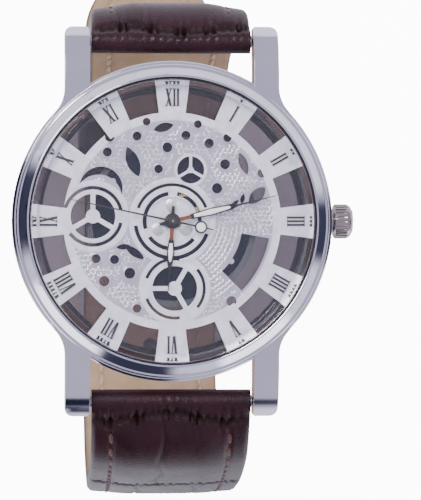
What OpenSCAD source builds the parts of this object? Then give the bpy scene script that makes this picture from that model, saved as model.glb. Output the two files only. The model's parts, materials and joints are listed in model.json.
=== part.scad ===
// Skeleton dial wristwatch, unfastened and standing dial up on the tail of its six o'clock strap.
// +X points at the crown, +Y at twelve o'clock and +Z out of the dial.
// The origin lies straight under the hands, on the surface that the tail rests on.

/* [Case] */
// Outside diameter of the case middle
case_d = 40; // [36:0.5:44]
// Height of the dial's face above the surface that the strap rests on
dial_z = 66; // [60:1:76]
// Width of the case's shelf outside the bezel
bezel_shelf = 0.4; // [0.2:0.1:1]
// Width of the bezel's sloped ring, from its outer edge to the crystal's seat
bezel_w = 1.75; // [1.2:0.05:2.4]
// Height of the bezel above the case middle
bezel_h = 1.9; // [1.5:0.1:2.6]
// Thickness of the crystal
crystal_t = 1.2; // [0.8:0.1:2]
// Width of the bevel round the crystal's edge
crystal_bevel = 0.7; // [0.3:0.1:0.9]
// Space for the hands, from the dial's face to the crystal
hand_space = 1.9; // [1.7:0.1:2.6]
// Thickness of the case wall round the dial
case_wall = 2.2; // [1.6:0.1:3]
// Depth of the case middle below the dial's face
case_depth = 4.2; // [3.9:0.1:5]
// Thickness of the case back's flange
back_t = 0.8; // [0.6:0.1:1.2]
// Width of the case back's rim round its window, inside the case wall
back_rim = 1.6; // [1.2:0.1:4]

/* [Lugs] */
// Width of one lug
lug_w = 3.1; // [2:0.1:3.6]
// Distance from the case's edge to the spring bar
bar_reach = 2.6; // [2.4:0.1:4]
// Distance from the spring bar to the lug's tip
lug_tip = 1.9; // [1.5:0.1:2.5]
// Depth of the spring bar below the dial's face
bar_drop = 3.4; // [2.8:0.1:3.6]
// Diameter of a spring bar's sleeve
bar_d = 1.5; // [1.3:0.1:1.8]
// Diameter of a spring bar's end pins
bar_pin_d = 0.9; // [0.7:0.1:1.1]
// Radius of the corner where a lug meets the case
lug_fillet = 4.5; // [2:0.5:6]

/* [Strap] */
// Width of the strap between the lugs, which also sets the gap between them
strap_w = 20; // [16:0.5:22]
// Width of the strap at the buckle and along the tail
strap_tail_w = 18; // [14:0.5:20]
// Thickness of the strap round its spring bar
strap_bar_t = 3; // [2.8:0.1:3.6]
// Thickness of the padding, a little way past the lugs
strap_pad_t = 4.2; // [3.2:0.1:5]
// Thickness of the strap where the padding has run out
strap_t = 3; // [2.4:0.1:3.4]
// Thickness of the flat tail
tail_t = 2.2; // [1.8:0.1:2.6]
// Thickness of the lining leather
lining_t = 0.8; // [0.5:0.1:1]
// Length of the six o'clock strap, from its spring bar to its tip
strap_6_len = 126; // [112:1:134]
// Number of adjuster holes in the tail
hole_n = 6; // [3:1:8]
// Distance between adjuster holes
hole_pitch = 6.5; // [5:0.5:7]
// Distance from the strap's tip to the first adjuster hole
hole_from_tip = 20.5; // [15:0.5:26]
// Diameter of an adjuster hole
hole_d = 1.8; // [1.5:0.1:2.4]
// Width of a keeper loop along the strap
keeper_w = 4.5; // [3.5:0.5:6]
// Thickness of a keeper's leather
keeper_t = 1.1; // [0.8:0.1:1.4]
// Travel of the free keeper
keeper_travel = 4; // [2:0.5:5]

/* [Buckle] */
// Length of the buckle, from its bar to the far edge
buckle_len = 9; // [7:0.5:10]
// Thickness of the buckle's arms
buckle_t = 1.5; // [1.2:0.1:2]
// Width of one buckle arm
buckle_arm_w = 1.6; // [1.3:0.1:2.2]
// Depth of the buckle's cross bar
buckle_end_w = 2.2; // [1.6:0.1:2.8]
// Width of the tongue
tongue_w = 1.7; // [1.4:0.1:1.8]
// Gap between the hanging buckle and the tail below it
buckle_clear = 3.2; // [3:0.1:5]

/* [Dial] */
// Distance from the ends of the hour pads to the case wall
dial_inset = 0.6; // [0.4:0.1:1.5]
// Length of an hour pad outside the pierced centre plate
pad_len = 3.6; // [3:0.1:4.2]
// Thickness of the dial
dial_t = 0.4; // [0.3:0.05:0.5]
// Angle taken up by one hour pad, in degrees
pad_angle = 14; // [10:1:20]
// Height of a numeral
numeral_h = 2.2; // [1.8:0.1:2.6]
// Thickness of the applied numerals
numeral_t = 0.14; // [0.1:0.02:0.3]
// Height of the raised rims round the dial's openings
rim_h = 0.12; // [0.06:0.02:0.2]

/* [Hands] */
// Length of the minute hand
minute_len = 13.4; // [11:0.1:14.5]
// Length of the hour hand
hour_len = 8.75; // [7:0.05:10]
// Length of the seconds hand
second_len = 13; // [11:0.1:14.5]
// Minute at which the minute hand stands
minute_at = 12.7; // [0:0.1:60]
// Hour at which the hour hand stands
hour_at = 6.12; // [0:0.01:12]
// Second at which the seconds hand stands
second_at = 47; // [0:0.5:60]

/* [Movement] */
// Diameter of the movement
movement_d = 19.8; // [19.4:0.1:21]
// Diameter of the battery
battery_d = 6.8; // [5.8:0.1:6.9]
// Height of the battery
battery_h = 1.65; // [1.2:0.05:1.65]
// Diameter of the crown
crown_d = 4.3; // [3.4:0.1:4.8]
// Length of the crown
crown_len = 2.5; // [1.8:0.1:3.2]
// Travel of the crown between its running and its setting position
crown_travel = 1; // [0.6:0.1:1.2]
// Module of the motion work
motion_module = 0.1; // [0.09:0.005:0.1]

/* [Hidden] */
$fn = 72;

// clearances, all radial or on one side
seat_gap = 0.02;
run_gap = 0.05;
bar_gap = 0.1;
side_gap = 0.25;
past = 1;

// case
case_r = case_d / 2;
bezel_r = case_r - bezel_shelf;
seat_r = bezel_r - bezel_w;
gasket_t = 0.16;
crystal_r = seat_r - gasket_t;
cavity_r = case_r - case_wall;
shoulder_z = hand_space - 1;
lip_w = 0.5;
back_z = -case_depth - back_t;
back_neck_h = 0.5;
back_window_r = cavity_r - back_rim;
back_seat_r = back_window_r + 0.6;
bar_y = case_r + bar_reach;
bar_z = dial_z - bar_drop;
lug_end_y = bar_y + lug_tip;
lug_in = strap_w / 2 + side_gap;
lug_out = lug_in + lug_w;
bar_pin_in = 1;

// dial
dial_r = cavity_r - dial_inset;
plate_r = dial_r - pad_len;
art = plate_r / 13.6;
centre_hole_r = 0.9;

// levels of the movement, measured from the dial's face
plate_top = -1.1;
plate_t = 0.5;
train_top = plate_top - plate_t;
bridge_top = -2.95;
bridge_t = 0.4;
movement_bottom = bridge_top - bridge_t;
movement_r = movement_d / 2;
wall_t = 0.3;
arbor_r = 0.12;
pivot_gap = 0.03;
wheel_t = 0.15;
fourth_z = -2.75;
third_z = -2.45;
intermediate_z = -2.35;
centre_z = -1.95;
minute_wheel_z = -1;
hour_wheel_z = -0.75;
stem_z = -2.35;
stem_r = 0.45;

// tooth counts and modules
rotor_n = 8;
intermediate_n = 40;
intermediate_pinion_n = 10;
fourth_n = 60;
fourth_pinion_n = 8;
third_n = 60;
third_pinion_n = 8;
centre_n = 64;
cannon_n = 12;
minute_n = 36;
minute_pinion_n = 10;
hour_n = 40;
step_module = 0.08;
third_module = 0.072;
centre_module = third_module * (fourth_pinion_n + third_n) / (third_pinion_n + centre_n);
hour_module = motion_module * (cannon_n + minute_n) / (minute_pinion_n + hour_n);

// directions from one arbor to the next, in degrees
intermediate_dir = 200;
rotor_dir = 235;
third_dir = -60;
minute_dir = 45;

intermediate_at = polar(step_module * (intermediate_pinion_n + fourth_n) / 2, intermediate_dir);
rotor_at = intermediate_at + polar(step_module * (rotor_n + intermediate_n) / 2, rotor_dir);
third_at = polar(third_module * (fourth_pinion_n + third_n) / 2, third_dir);
minute_at_xy = polar(motion_module * (cannon_n + minute_n) / 2, minute_dir);

// tooth phases that leave every pair in mesh; the pinion and wheel of one piece share a phase
centre_phase = 0;
third_phase = mesh_phase(centre_phase, centre_n, third_pinion_n, third_dir);
fourth_phase = mesh_phase(third_phase, third_n, fourth_pinion_n, third_dir + 180);
intermediate_phase = mesh_phase(fourth_phase, fourth_n, intermediate_pinion_n, intermediate_dir);
rotor_phase = mesh_phase(intermediate_phase, intermediate_n, rotor_n, rotor_dir);
minute_phase = mesh_phase(centre_phase, cannon_n, minute_n, minute_dir);
hour_phase = mesh_phase(minute_phase, minute_pinion_n, hour_n, minute_dir + 180);

battery_at = [2.6, 5.5];
coil_y = -6.8;
coil_z = -2.35;
coil_len = 8.6;
coil_r = 0.68;
core_len = 11.2;
core_w = 1.1;
core_t = 0.4;
rotor_r = 0.6;
screw_r = 0.35;
screw_places = [[-5.5, 1], [3.8, -3.5], [-2.2, 3], [-5.2, -4]];
stem_in = 4.2;
groove_w = 0.5;
lever_gap = 0.7;
// the lever clears the movement's wall once the crown is out
groove_x = movement_r - wall_t - crown_travel - groove_w - lever_gap;
tube_r = 1.35;
tube_bore = 0.85;
pinion_r = 0.65;

// strap: each run of the chain is a length and the angle it turns through, before scaling to fit
start_12 = 35;
chain_12 = [[7, 50], [22, 20], [16, 28], [18, 0]];
start_6 = 15;
chain_6 = [[8, 53], [18, 18], [20, 26], [18, 68]];
buckle_z = tail_t + buckle_clear + buckle_len;
fitted_12 = fit_chain(chain_12, start_12, bar_z - buckle_z);
bent_6 = fit_chain(chain_6, start_6, bar_z - tail_t / 2);
bent_6_len = chain_len(bent_6);
tail_len = strap_6_len - bent_6_len;
fitted_6 = concat(bent_6, [[tail_len, 0]]);
strap_12_len = chain_len(fitted_12);
straight_12 = fitted_12[3][0];
tip_len = 9;
ring_step = 2;
glue = 0.01;
turn_in = 3.4;
hem = 0.35;
buckle_bar_r = 0.75;
buckle_loop_r = strap_t / 2 + 0.1;
arm_in = strap_tail_w / 2 + side_gap;
arm_out = arm_in + buckle_arm_w;
slot_w = tongue_w + 0.6;
keeper_room = tail_t + 0.3;
fixed_keeper_at = strap_12_len - buckle_loop_r - 1.5 - keeper_w / 2;
free_keeper_at = fixed_keeper_at - keeper_w - 0.6;
keeper_hw = strap_half_w(free_keeper_at - keeper_travel - keeper_w, strap_12_len) + 0.15;

// ---------------------------------------------------------------- helpers

function polar(r, a) = [r * cos(a), r * sin(a)];
function clock(minutes) = 90 - 6 * minutes;
function mix(a, b, t) = a + (b - a) * min(1, max(0, t));
function ease(t) = let (u = min(1, max(0, t))) u * u * (3 - 2 * u);

// phase of gear B that meshes with gear A when B's centre lies in direction dir from A's
function mesh_phase(phase_a, n_a, n_b, dir) = dir + 180 + ((dir - phase_a) * n_a - 180) / n_b;

// outline of a gear with straight-sided teeth
function gear_points(m, n) = let (
        tip = m * (n + 1.8) / 2,
        root = m * (n - 2.4) / 2,
        pitch = 360 / n)
    [for (i = [0:n - 1]) for (c = [[-0.31, root], [-0.11, tip], [0.11, tip], [0.31, root]])
        polar(c[1], pitch * (i + c[0]))];

module gear(m, n, z, t, bore_r, phase) {
    translate([0, 0, z])
        linear_extrude(t)
            difference() {
                rotate(phase)
                    polygon(gear_points(m, n));
                circle(bore_r);
            }
}

// wheel with a rim, a hub and straight spokes
module spoked_gear(m, n, z, t, bore_r, hub_r, phase, spokes) {
    rim_r = m * (n - 2.4) / 2 - 0.28;
    translate([0, 0, z])
        linear_extrude(t)
            difference() {
                rotate(phase)
                    polygon(gear_points(m, n));
                difference() {
                    circle(rim_r);
                    circle(hub_r);
                    for (i = [0:spokes - 1])
                        rotate(phase + i * 360 / spokes)
                            translate([0, -0.14])
                                square([rim_r + 0.1, 0.28]);
                }
                circle(bore_r);
            }
}

module arbor(r, low, high) {
    translate([0, 0, low])
        cylinder(r = r, h = high - low);
}

module ring(r_in, r_out, z, h) {
    translate([0, 0, z])
        linear_extrude(h)
            difference() {
                circle(r_out);
                circle(r_in);
            }
}

module at_dial() {
    translate([0, 0, dial_z])
        children();
}

module along_x(x, z) {
    translate([x, 0, z])
        rotate([0, 90, 0])
            children();
}

// strap chain: points are [y, z, heading], with heading 0 outwards and 90 straight down
function chain_len(chain, i = 0) = i == len(chain) ? 0 : chain[i][0] + chain_len(chain, i + 1);
function advance(p, run, part) = let (
        turn = run[1] * part,
        h = p[2],
        r = run[1] == 0 ? 0 : run[0] * part / turn * 180 / PI)
    run[1] == 0
        ? [p[0] + run[0] * part * cos(h), p[1] - run[0] * part * sin(h), h]
        : [p[0] + r * (sin(h + turn) - sin(h)), p[1] + r * (cos(h + turn) - cos(h)), h + turn];
function at_length(chain, s, p, i = 0) =
    i == len(chain) - 1 || s <= chain[i][0]
        ? (s <= 0 ? p : advance(p, chain[i], s / chain[i][0]))
        : at_length(chain, s - chain[i][0], advance(p, chain[i], 1), i + 1);
function fit_chain(chain, start, drop) = let (
        end = at_length(chain, chain_len(chain), [0, 0, start]),
        k = -drop / end[1])
    [for (run = chain) [run[0] * k, run[1]]];
function on_12(s) = at_length(fitted_12, s, [bar_y, bar_z, start_12]);
function on_6(s) = at_length(fitted_6, s, [bar_y, bar_z, start_6]);

function strap_half_w(s, length) = mix(strap_w, strap_tail_w, s / (length * 0.8)) / 2;
function tip_half_w(s) = let (u = (s - (strap_6_len - tip_len)) / tip_len)
    u <= 0 ? 1 : sqrt(max(0.006, 1 - u * u));
function pad_of(s) = s < 7
    ? mix(strap_bar_t - 0.15, strap_pad_t, ease(s / 7))
    : mix(strap_pad_t, strap_t, ease((s - 7) / 18));
function thick_12(s) = pad_of(s);
function thick_6(s) = mix(pad_of(s), tail_t, ease((s - 30) / (bent_6_len - 34)));

// one ring of a strap layer: half width, base height and top height, with the leather's edges rolled down
function leather_ring(hw, low, high) = let (edge = low + (high - low) * 0.5)
    [[-hw, low], [hw, low], [hw, edge], [hw * 0.97, high - 0.1], [hw * 0.9, high],
        [-hw * 0.9, high], [-hw * 0.97, high - 0.1], [-hw, edge]];
function lining_ring(hw, low, high) = let (bend = low + hem * lining_t)
    [[-hw + hem, low], [hw - hem, low], [hw, bend], [hw, high], [-hw, high], [-hw, bend]];
function place(p, q) = [q[0], p[0] + q[1] * sin(p[2]), p[1] + q[1] * cos(p[2])];
function side_faces(n, rings) = [for (i = [0:rings - 2]) for (j = [0:n - 1])
    [i * n + j, i * n + (j + 1) % n, (i + 1) * n + (j + 1) % n, (i + 1) * n + j]];

// rings is a list of closed loops of equal length, in order along the strap
module sweep(rings) {
    n = len(rings[0]);
    m = len(rings);
    polyhedron(
        points = [for (loop = rings) for (p = loop) p],
        faces = concat([[for (j = [n - 1:-1:0]) j]], side_faces(n, m),
            [[for (j = [0:n - 1]) (m - 1) * n + j]]),
        convexity = 6);
}

// the leather turns under at a bar, where it takes up the lining's thickness too
function leather_base(s, length) = s < turn_in || s > length - turn_in ? glue : lining_t + glue;
function bar_stations(length) = concat([0, turn_in / 2, turn_in - glue], stations(turn_in, length - turn_in));
function stations(from, to) = let (n = max(2, ceil((to - from) / ring_step)))
    [for (i = [0:n]) from + (to - from) * i / n];
function tip_stations(from, to) = concat(
    stations(from, to - tip_len),
    [for (a = [20:14:90]) to - tip_len + tip_len * sin(a)]);

// places children in the strap's own frame: +Y along it and +Z out of its face
module at_station(p) {
    translate([0, p[0], p[1]])
        rotate([-p[2], 0, 0])
            children();
}

module cross_bore(y, z, r) {
    translate([-strap_w, y, z])
        rotate([0, 90, 0])
            cylinder(r = r, h = 2 * strap_w);
}

// ---------------------------------------------------------------- case

module lug_plan() {
    corner = 1;
    fillet_x = lug_out + lug_fillet;
    fillet_y = sqrt(pow(case_r + lug_fillet, 2) - pow(fillet_x, 2));
    touch = [fillet_x, fillet_y] * case_r / (case_r + lug_fillet);
    difference() {
        union() {
            polygon(concat(
                [[lug_in, cavity_r * 0.6], [lug_in, lug_end_y - 0.3], [lug_in + 0.3, lug_end_y]],
                [for (a = [90:-15:0]) [lug_out - corner, lug_end_y - corner] + polar(corner, a)],
                [[lug_out, cavity_r * 0.6]]));
            polygon([[lug_in + 0.5, cavity_r * 0.6], [lug_in + 0.5, fillet_y], [fillet_x, fillet_y],
                touch, polar(case_r - 0.5, 36)]);
        }
        translate([fillet_x, fillet_y])
            circle(lug_fillet);
    }
}

// the lug seen from the side: [distance from the centre, height above the dial's face]
module lug_profile() {
    top = shoulder_z;
    bottom = -case_depth;
    rotate([90, 0, 90])
        translate([0, 0, -case_r])
            linear_extrude(case_d)
                polygon([[cavity_r * 0.5, bottom], [cavity_r * 0.5, top], [case_r - 1.4, top],
                    [bar_y - 1.2, top - 0.9], [bar_y + 0.5, top - 1.9], [lug_end_y - 0.3, -bar_drop + 0.7],
                    [lug_end_y, -bar_drop], [lug_end_y - 0.2, -bar_drop - 1.4],
                    [bar_y, -bar_drop - 1.7], [case_r, bottom]]);
}

module lug() {
    intersection() {
        translate([0, 0, back_z - past])
            linear_extrude(case_depth + hand_space + 2 * past)
                lug_plan();
        lug_profile();
    }
}

module case_middle() {
    color("gainsboro")
        at_dial()
            difference() {
                union() {
                    rotate_extrude()
                        polygon([[cavity_r - 1, -case_depth], [case_r - 0.8, -case_depth],
                            [case_r, -case_depth + 1.2], [case_r, shoulder_z - 0.3],
                            [case_r - 0.3, shoulder_z], [cavity_r - 1, shoulder_z]]);
                    for (x = [0, 1])
                        for (y = [0, 1])
                            mirror([x, 0, 0])
                                mirror([0, y, 0])
                                    lug();
                }
                translate([0, 0, -case_depth - past])
                    cylinder(r = cavity_r, h = case_depth + hand_space + past);
                // groove for the case back's gasket
                ring(cavity_r - 0.1, cavity_r + 0.7, -case_depth - past, past + 0.4);
                along_x(cavity_r - past, stem_z)
                    cylinder(r = tube_r, h = case_wall + 2 * past);
                for (y = [-bar_y, bar_y])
                    translate([-lug_in - bar_pin_in - seat_gap, y, -bar_drop])
                        rotate([0, 90, 0])
                            cylinder(r = bar_pin_d / 2 + run_gap, h = 2 * (lug_in + bar_pin_in + seat_gap));
            }
}

module bezel() {
    low = shoulder_z;
    high = shoulder_z + bezel_h;
    color("white")
        at_dial()
            rotate_extrude()
                polygon([[crystal_r - lip_w + gasket_t, low], [bezel_r, low], [bezel_r, low + 0.45],
                    [bezel_r - 0.15, low + 0.65], [bezel_r - 0.45, low + 0.75],
                    [seat_r + 0.3, high], [seat_r + 0.12, high], [seat_r, high - 0.12],
                    [seat_r, hand_space], [crystal_r - lip_w + gasket_t, hand_space]]);
}

module crystal() {
    r = crystal_r - seat_gap;
    color("lightcyan", 0.35)
        at_dial()
            rotate_extrude()
                polygon([[0, hand_space], [r, hand_space], [r, hand_space + crystal_t - crystal_bevel * 0.8],
                    [r - crystal_bevel, hand_space + crystal_t], [0, hand_space + crystal_t]]);
}

module crystal_gasket() {
    color("dimgray")
        at_dial()
            ring(crystal_r, seat_r - seat_gap, hand_space, bezel_h - 1.3);
}

module dial_ring() {
    color("darkslategray")
        at_dial()
            rotate_extrude()
                polygon([[dial_r + run_gap, 0], [cavity_r - run_gap, 0],
                    [cavity_r - run_gap, shoulder_z], [crystal_r - lip_w + gasket_t + 0.1, shoulder_z]]);
}

module movement_holder() {
    top = -dial_t;
    rim_r = cavity_r - run_gap;
    hub_r = movement_r + run_gap;
    color("slategray")
        at_dial()
            difference() {
                union() {
                    ring(cavity_r - 0.95, rim_r, -3.6, 3.6 + top);
                    ring(hub_r, hub_r + 0.75, -3.2, 2);
                    for (a = [60, 120, 240, 300])
                        rotate(a)
                            translate([hub_r + 0.4, -0.6, -2.7])
                                cube([cavity_r - 0.5 - hub_r - 0.4, 1.2, 1.2]);
                }
                along_x(0, stem_z)
                    cylinder(r = stem_r + 0.2, h = case_r);
            }
}

module case_back() {
    neck_z = -case_depth + back_neck_h;
    neck_r = cavity_r - run_gap;
    seat_z = back_z + 0.35;
    color("gainsboro")
        at_dial()
            rotate_extrude()
                polygon([[back_window_r, back_z], [case_r - 1.6, back_z], [case_r - 1.1, back_z + 0.3],
                    [case_r - 1.1, -case_depth], [neck_r, -case_depth], [neck_r, neck_z],
                    [back_seat_r, neck_z], [back_seat_r, seat_z], [back_window_r, seat_z]]);
}

module back_crystal() {
    color("lightcyan", 0.35)
        at_dial()
            translate([0, 0, back_z + 0.35])
                cylinder(r = back_seat_r - seat_gap, h = 0.9);
}

module back_gasket() {
    color("dimgray")
        at_dial()
            ring(cavity_r + 0.15, cavity_r + 0.6, -case_depth, 0.35);
}

// ---------------------------------------------------------------- crown and keyless work

module crown() {
    r = crown_d / 2;
    x = case_r + 0.3;
    flutes = 26;
    color("silver")
        at_dial()
            difference() {
                along_x(x, stem_z)
                    rotate_extrude()
                        polygon([[0, 0], [r - 0.3, 0], [r, 0.25], [r, crown_len - 0.8],
                            [r - 0.25, crown_len - 0.35], [r * 0.6, crown_len], [0, crown_len]]);
                for (i = [0:flutes - 1])
                    translate([x + 0.25, 0, stem_z])
                        rotate([i * 360 / flutes, 0, 0])
                            translate([0, -0.13, r - 0.16])
                                cube([crown_len - 1, 0.26, 1]);
                // room for the tube and its gasket
                along_x(x - past, stem_z)
                    cylinder(r = tube_r + 0.25, h = past + 1.1);
                along_x(x, stem_z)
                    cylinder(r = stem_r, h = crown_len - 0.6);
            }
}

module crown_tube() {
    color("goldenrod")
        at_dial()
            along_x(cavity_r, stem_z)
                ring(tube_bore, tube_r - seat_gap, 0, case_r + 0.5 - cavity_r);
}

module crown_gasket() {
    color("black")
        at_dial()
            along_x(case_r + 0.85, stem_z)
                ring(stem_r + seat_gap, tube_bore + 0.2, 0, 0.4);
}

module stem() {
    color("silver")
        at_dial()
            difference() {
                along_x(stem_in, stem_z)
                    cylinder(r = stem_r - seat_gap, h = case_r + 0.3 + crown_len - 0.7 - stem_in);
                along_x(groove_x, stem_z)
                    ring(0.25, 1, 0, groove_w);
            }
}

module sliding_pinion() {
    teeth = 12;
    color("silver")
        at_dial()
            along_x(stem_in + 0.4, stem_z)
                difference() {
                    cylinder(r = pinion_r, h = 1.4);
                    for (i = [0:teeth - 1])
                        rotate(i * 360 / teeth)
                            translate([pinion_r - 0.15, -0.07, -past])
                                cube([1, 0.14, past + 0.5]);
                    ring(pinion_r - 0.15, pinion_r + 1, 0.8, 0.3);
                    translate([0, 0, -past])
                        cylinder(r = stem_r, h = 1.4 + 2 * past);
                }
}

// a forked plate that straddles the stem's groove
module setting_lever() {
    color("darkgray")
        at_dial()
            along_x(groove_x + 0.1, stem_z)
                linear_extrude(0.3)
                    difference() {
                        translate([-0.6, -1.1])
                            square([1.2, 2.6]);
                        translate([-1, -0.3])
                            square([1.3, 0.6]);
                        circle(0.3);
                    }
}

// ---------------------------------------------------------------- movement

module main_plate() {
    post_r = 0.6;
    color("darkslateblue")
        at_dial()
            difference() {
                union() {
                    translate([0, 0, train_top])
                        cylinder(r = movement_r, h = plate_t);
                    ring(movement_r - wall_t, movement_r, movement_bottom, train_top - movement_bottom + 0.1);
                    for (p = screw_places)
                        translate([p[0], p[1], bridge_top])
                            cylinder(r = post_r, h = train_top - bridge_top + 0.1);
                    translate([minute_at_xy[0], minute_at_xy[1], plate_top - 0.1])
                        cylinder(r = 0.2, h = 0.65);
                }
                translate([0, 0, train_top - past])
                    cylinder(r = 0.35 + run_gap, h = plate_t + 2 * past);
                for (p = [intermediate_at, rotor_at, third_at])
                    translate([p[0], p[1], train_top - 0.1])
                        cylinder(r = arbor_r + pivot_gap, h = plate_t - 0.1);
                for (p = screw_places)
                    translate([p[0], p[1], bridge_top - past])
                        cylinder(r = screw_r, h = past + 0.8);
                for (p = dial_feet)
                    translate([p[0], p[1], train_top - past])
                        cylinder(r = 0.4, h = plate_t + 2 * past);
                along_x(movement_r - past, stem_z)
                    cylinder(r = stem_r + 0.1, h = 2 * past);
            }
}

module bridge_plan() {
    difference() {
        translate([-0.9, -1.2])
            circle(5.7);
        translate(battery_at)
            circle(battery_d / 2 + 0.25);
        translate([stem_in - 0.3, -1.2])
            square([4, 9]);
        translate([-core_len, coil_y - 2])
            square([2 * core_len, 2 + coil_r + 0.15]);
    }
}

module train_bridge() {
    color("steelblue")
        at_dial()
            difference() {
                translate([0, 0, movement_bottom])
                    linear_extrude(bridge_t)
                        bridge_plan();
                for (p = [[0, 0], intermediate_at, rotor_at, third_at])
                    translate([p[0], p[1], movement_bottom - past])
                        cylinder(r = arbor_r + pivot_gap, h = bridge_t + 2 * past);
                for (p = screw_places)
                    translate([p[0], p[1], movement_bottom - past])
                        cylinder(r = screw_r, h = bridge_t + 2 * past);
            }
}

module bridge_screws() {
    head_h = 0.18;
    color("silver")
        at_dial()
            for (p = screw_places)
                translate([p[0], p[1], movement_bottom - head_h])
                    difference() {
                        union() {
                            cylinder(r = 0.6, h = head_h);
                            cylinder(r = screw_r - seat_gap, h = head_h + bridge_t + 0.7);
                        }
                        translate([-past, -0.07, -past])
                            cube([2 * past, 0.14, past + 0.09]);
                    }
}

module battery() {
    r = battery_d / 2;
    top = train_top - 0.05;
    color("silver")
        at_dial()
            translate([battery_at[0], battery_at[1], top - battery_h])
                rotate_extrude()
                    polygon([[0, 0], [r - 0.15, 0], [r, 0.15], [r, battery_h - 0.4],
                        [r - 0.5, battery_h - 0.3], [r - 0.6, battery_h], [0, battery_h]]);
}

module battery_clamp() {
    r = battery_d / 2 + 0.6;
    color("khaki")
        at_dial()
            translate([battery_at[0], battery_at[1], movement_bottom - 0.12])
                linear_extrude(0.12)
                    intersection() {
                        rotate(-25)
                            translate([-r, -0.8])
                                square([2 * r, 1.6]);
                        translate(-battery_at)
                            circle(movement_r - 0.1);
                    }
}

module coil_core() {
    color("dimgray")
        at_dial()
            translate([-core_len / 2, coil_y - core_w / 2, coil_z - core_t / 2])
                cube([core_len, core_w, core_t]);
}

module coil_winding() {
    color("chocolate")
        at_dial()
            translate([-coil_len / 2, coil_y, coil_z])
                rotate([0, 90, 0])
                    difference() {
                        cylinder(r = coil_r, h = coil_len);
                        translate([-core_t / 2 - seat_gap, -core_w / 2 - seat_gap, -past])
                            cube([core_t + 2 * seat_gap, core_w + 2 * seat_gap, coil_len + 2 * past]);
                    }
}

module stator() {
    foot_x = core_len / 2 - 0.5;
    hole = rotor_r + 0.15;
    t = 0.35;
    color("gray")
        at_dial()
            translate([0, 0, coil_z - core_t / 2 - t])
                difference() {
                    union() {
                        translate([rotor_at[0], rotor_at[1], 0])
                            cylinder(r = hole + 0.7, h = t);
                        linear_extrude(t)
                            polygon([[-foot_x - 0.5, coil_y - 0.5], [-foot_x + 0.4, coil_y - 0.5],
                                rotor_at + [0.3, -1.2], rotor_at + [-1.3, -0.5]]);
                        linear_extrude(t)
                            polygon([[foot_x + 0.5, coil_y - 0.5], [foot_x + 0.5, coil_y + 0.5],
                                [foot_x - 0.6, coil_y + 1.5], rotor_at + [1, -1.1],
                                rotor_at + [0.2, -2.3], [foot_x - 0.7, coil_y + 0.7],
                                [foot_x - 0.4, coil_y - 0.5]]);
                    }
                    for (p = concat([rotor_at], screw_places))
                        translate([p[0], p[1], -past])
                            cylinder(r = p == rotor_at ? hole : 0.65, h = t + 2 * past);
                }
}

module rotor() {
    color("darkgray")
        at_dial()
            translate([rotor_at[0], rotor_at[1], 0]) {
                union() {
                    arbor(rotor_r, coil_z - core_t / 2 - 0.35, coil_z - 0.18);
                    arbor(arbor_r, movement_bottom + 0.1, train_top + 0.25);
                    gear(step_module, rotor_n, intermediate_z - 0.08, 0.3, 0.05, rotor_phase);
                }
            }
}

module intermediate_wheel() {
    color("gold")
        at_dial()
            translate([intermediate_at[0], intermediate_at[1], 0]) {
                union() {
                    arbor(arbor_r, movement_bottom + 0.1, train_top + 0.25);
                    spoked_gear(step_module, intermediate_n, intermediate_z, wheel_t, 0.05, 0.35,
                        intermediate_phase, 4);
                    gear(step_module, intermediate_pinion_n, fourth_z - 0.05, 0.42, 0.05, intermediate_phase);
                }
            }
}

module fourth_wheel() {
    color("gold")
        at_dial()
            union() {
                arbor(arbor_r, movement_bottom + 0.1, 1.5);
                spoked_gear(step_module, fourth_n, fourth_z, wheel_t, 0.05, 0.5, fourth_phase, 4);
                gear(third_module, fourth_pinion_n, fourth_z + 0.05, 0.55, 0.05, fourth_phase);
            }
}

module third_wheel() {
    color("gold")
        at_dial()
            translate([third_at[0], third_at[1], 0])
                union() {
                    arbor(arbor_r, movement_bottom + 0.1, train_top + 0.25);
                    spoked_gear(third_module, third_n, third_z, wheel_t, 0.05, 0.4, third_phase, 4);
                    gear(centre_module, third_pinion_n, third_z + 0.1, 0.7, 0.05, third_phase);
                }
}

module centre_wheel() {
    tube_top = 1.12;
    color("gold")
        at_dial()
            difference() {
                union() {
                    spoked_gear(centre_module, centre_n, centre_z, wheel_t, 0.2, 0.6, centre_phase, 4);
                    arbor(0.35, centre_z, tube_top);
                    gear(motion_module, cannon_n, minute_wheel_z - 0.05, 0.25, 0.2, centre_phase);
                }
                arbor(arbor_r + run_gap, centre_z - past, tube_top + past);
            }
}

module minute_wheel() {
    color("gold")
        at_dial()
            translate([minute_at_xy[0], minute_at_xy[1], 0])
                difference() {
                    union() {
                        spoked_gear(motion_module, minute_n, minute_wheel_z, 0.18, 0.1, 0.55,
                            minute_phase, 3);
                        gear(hour_module, minute_pinion_n, minute_wheel_z + 0.1, 0.44, 0.1, minute_phase);
                    }
                    arbor(0.2 + run_gap, plate_top - past, past);
                }
}

module hour_wheel() {
    color("gold")
        at_dial()
            difference() {
                union() {
                    spoked_gear(hour_module, hour_n, hour_wheel_z, 0.15, 0.42, 0.8, hour_phase, 4);
                    arbor(0.65, hour_wheel_z, 0.68);
                }
                arbor(0.35 + run_gap, -past - 1, past);
            }
}

module circuit_board() {
    color("darkgreen")
        at_dial()
            translate([0, 0, -2.9])
                linear_extrude(0.3)
                    difference() {
                        circle(movement_r - wall_t - 0.15);
                        circle(3.2);
                        polygon([[0, 0], [-20, 2], [-20, -20], [20, -20], [20, 20], [-1.2, 20]]);
                        translate(battery_at)
                            circle(battery_d / 2 + 0.3);
                        for (p = screw_places)
                            translate(p)
                                circle(0.65);
                    }
}

module quartz_can() {
    color("silver")
        at_dial()
            translate([-7.9, 1.9, -2.6 + 0.5])
                rotate([0, 90, 62])
                    cylinder(r = 0.49, h = 4);
}

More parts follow.
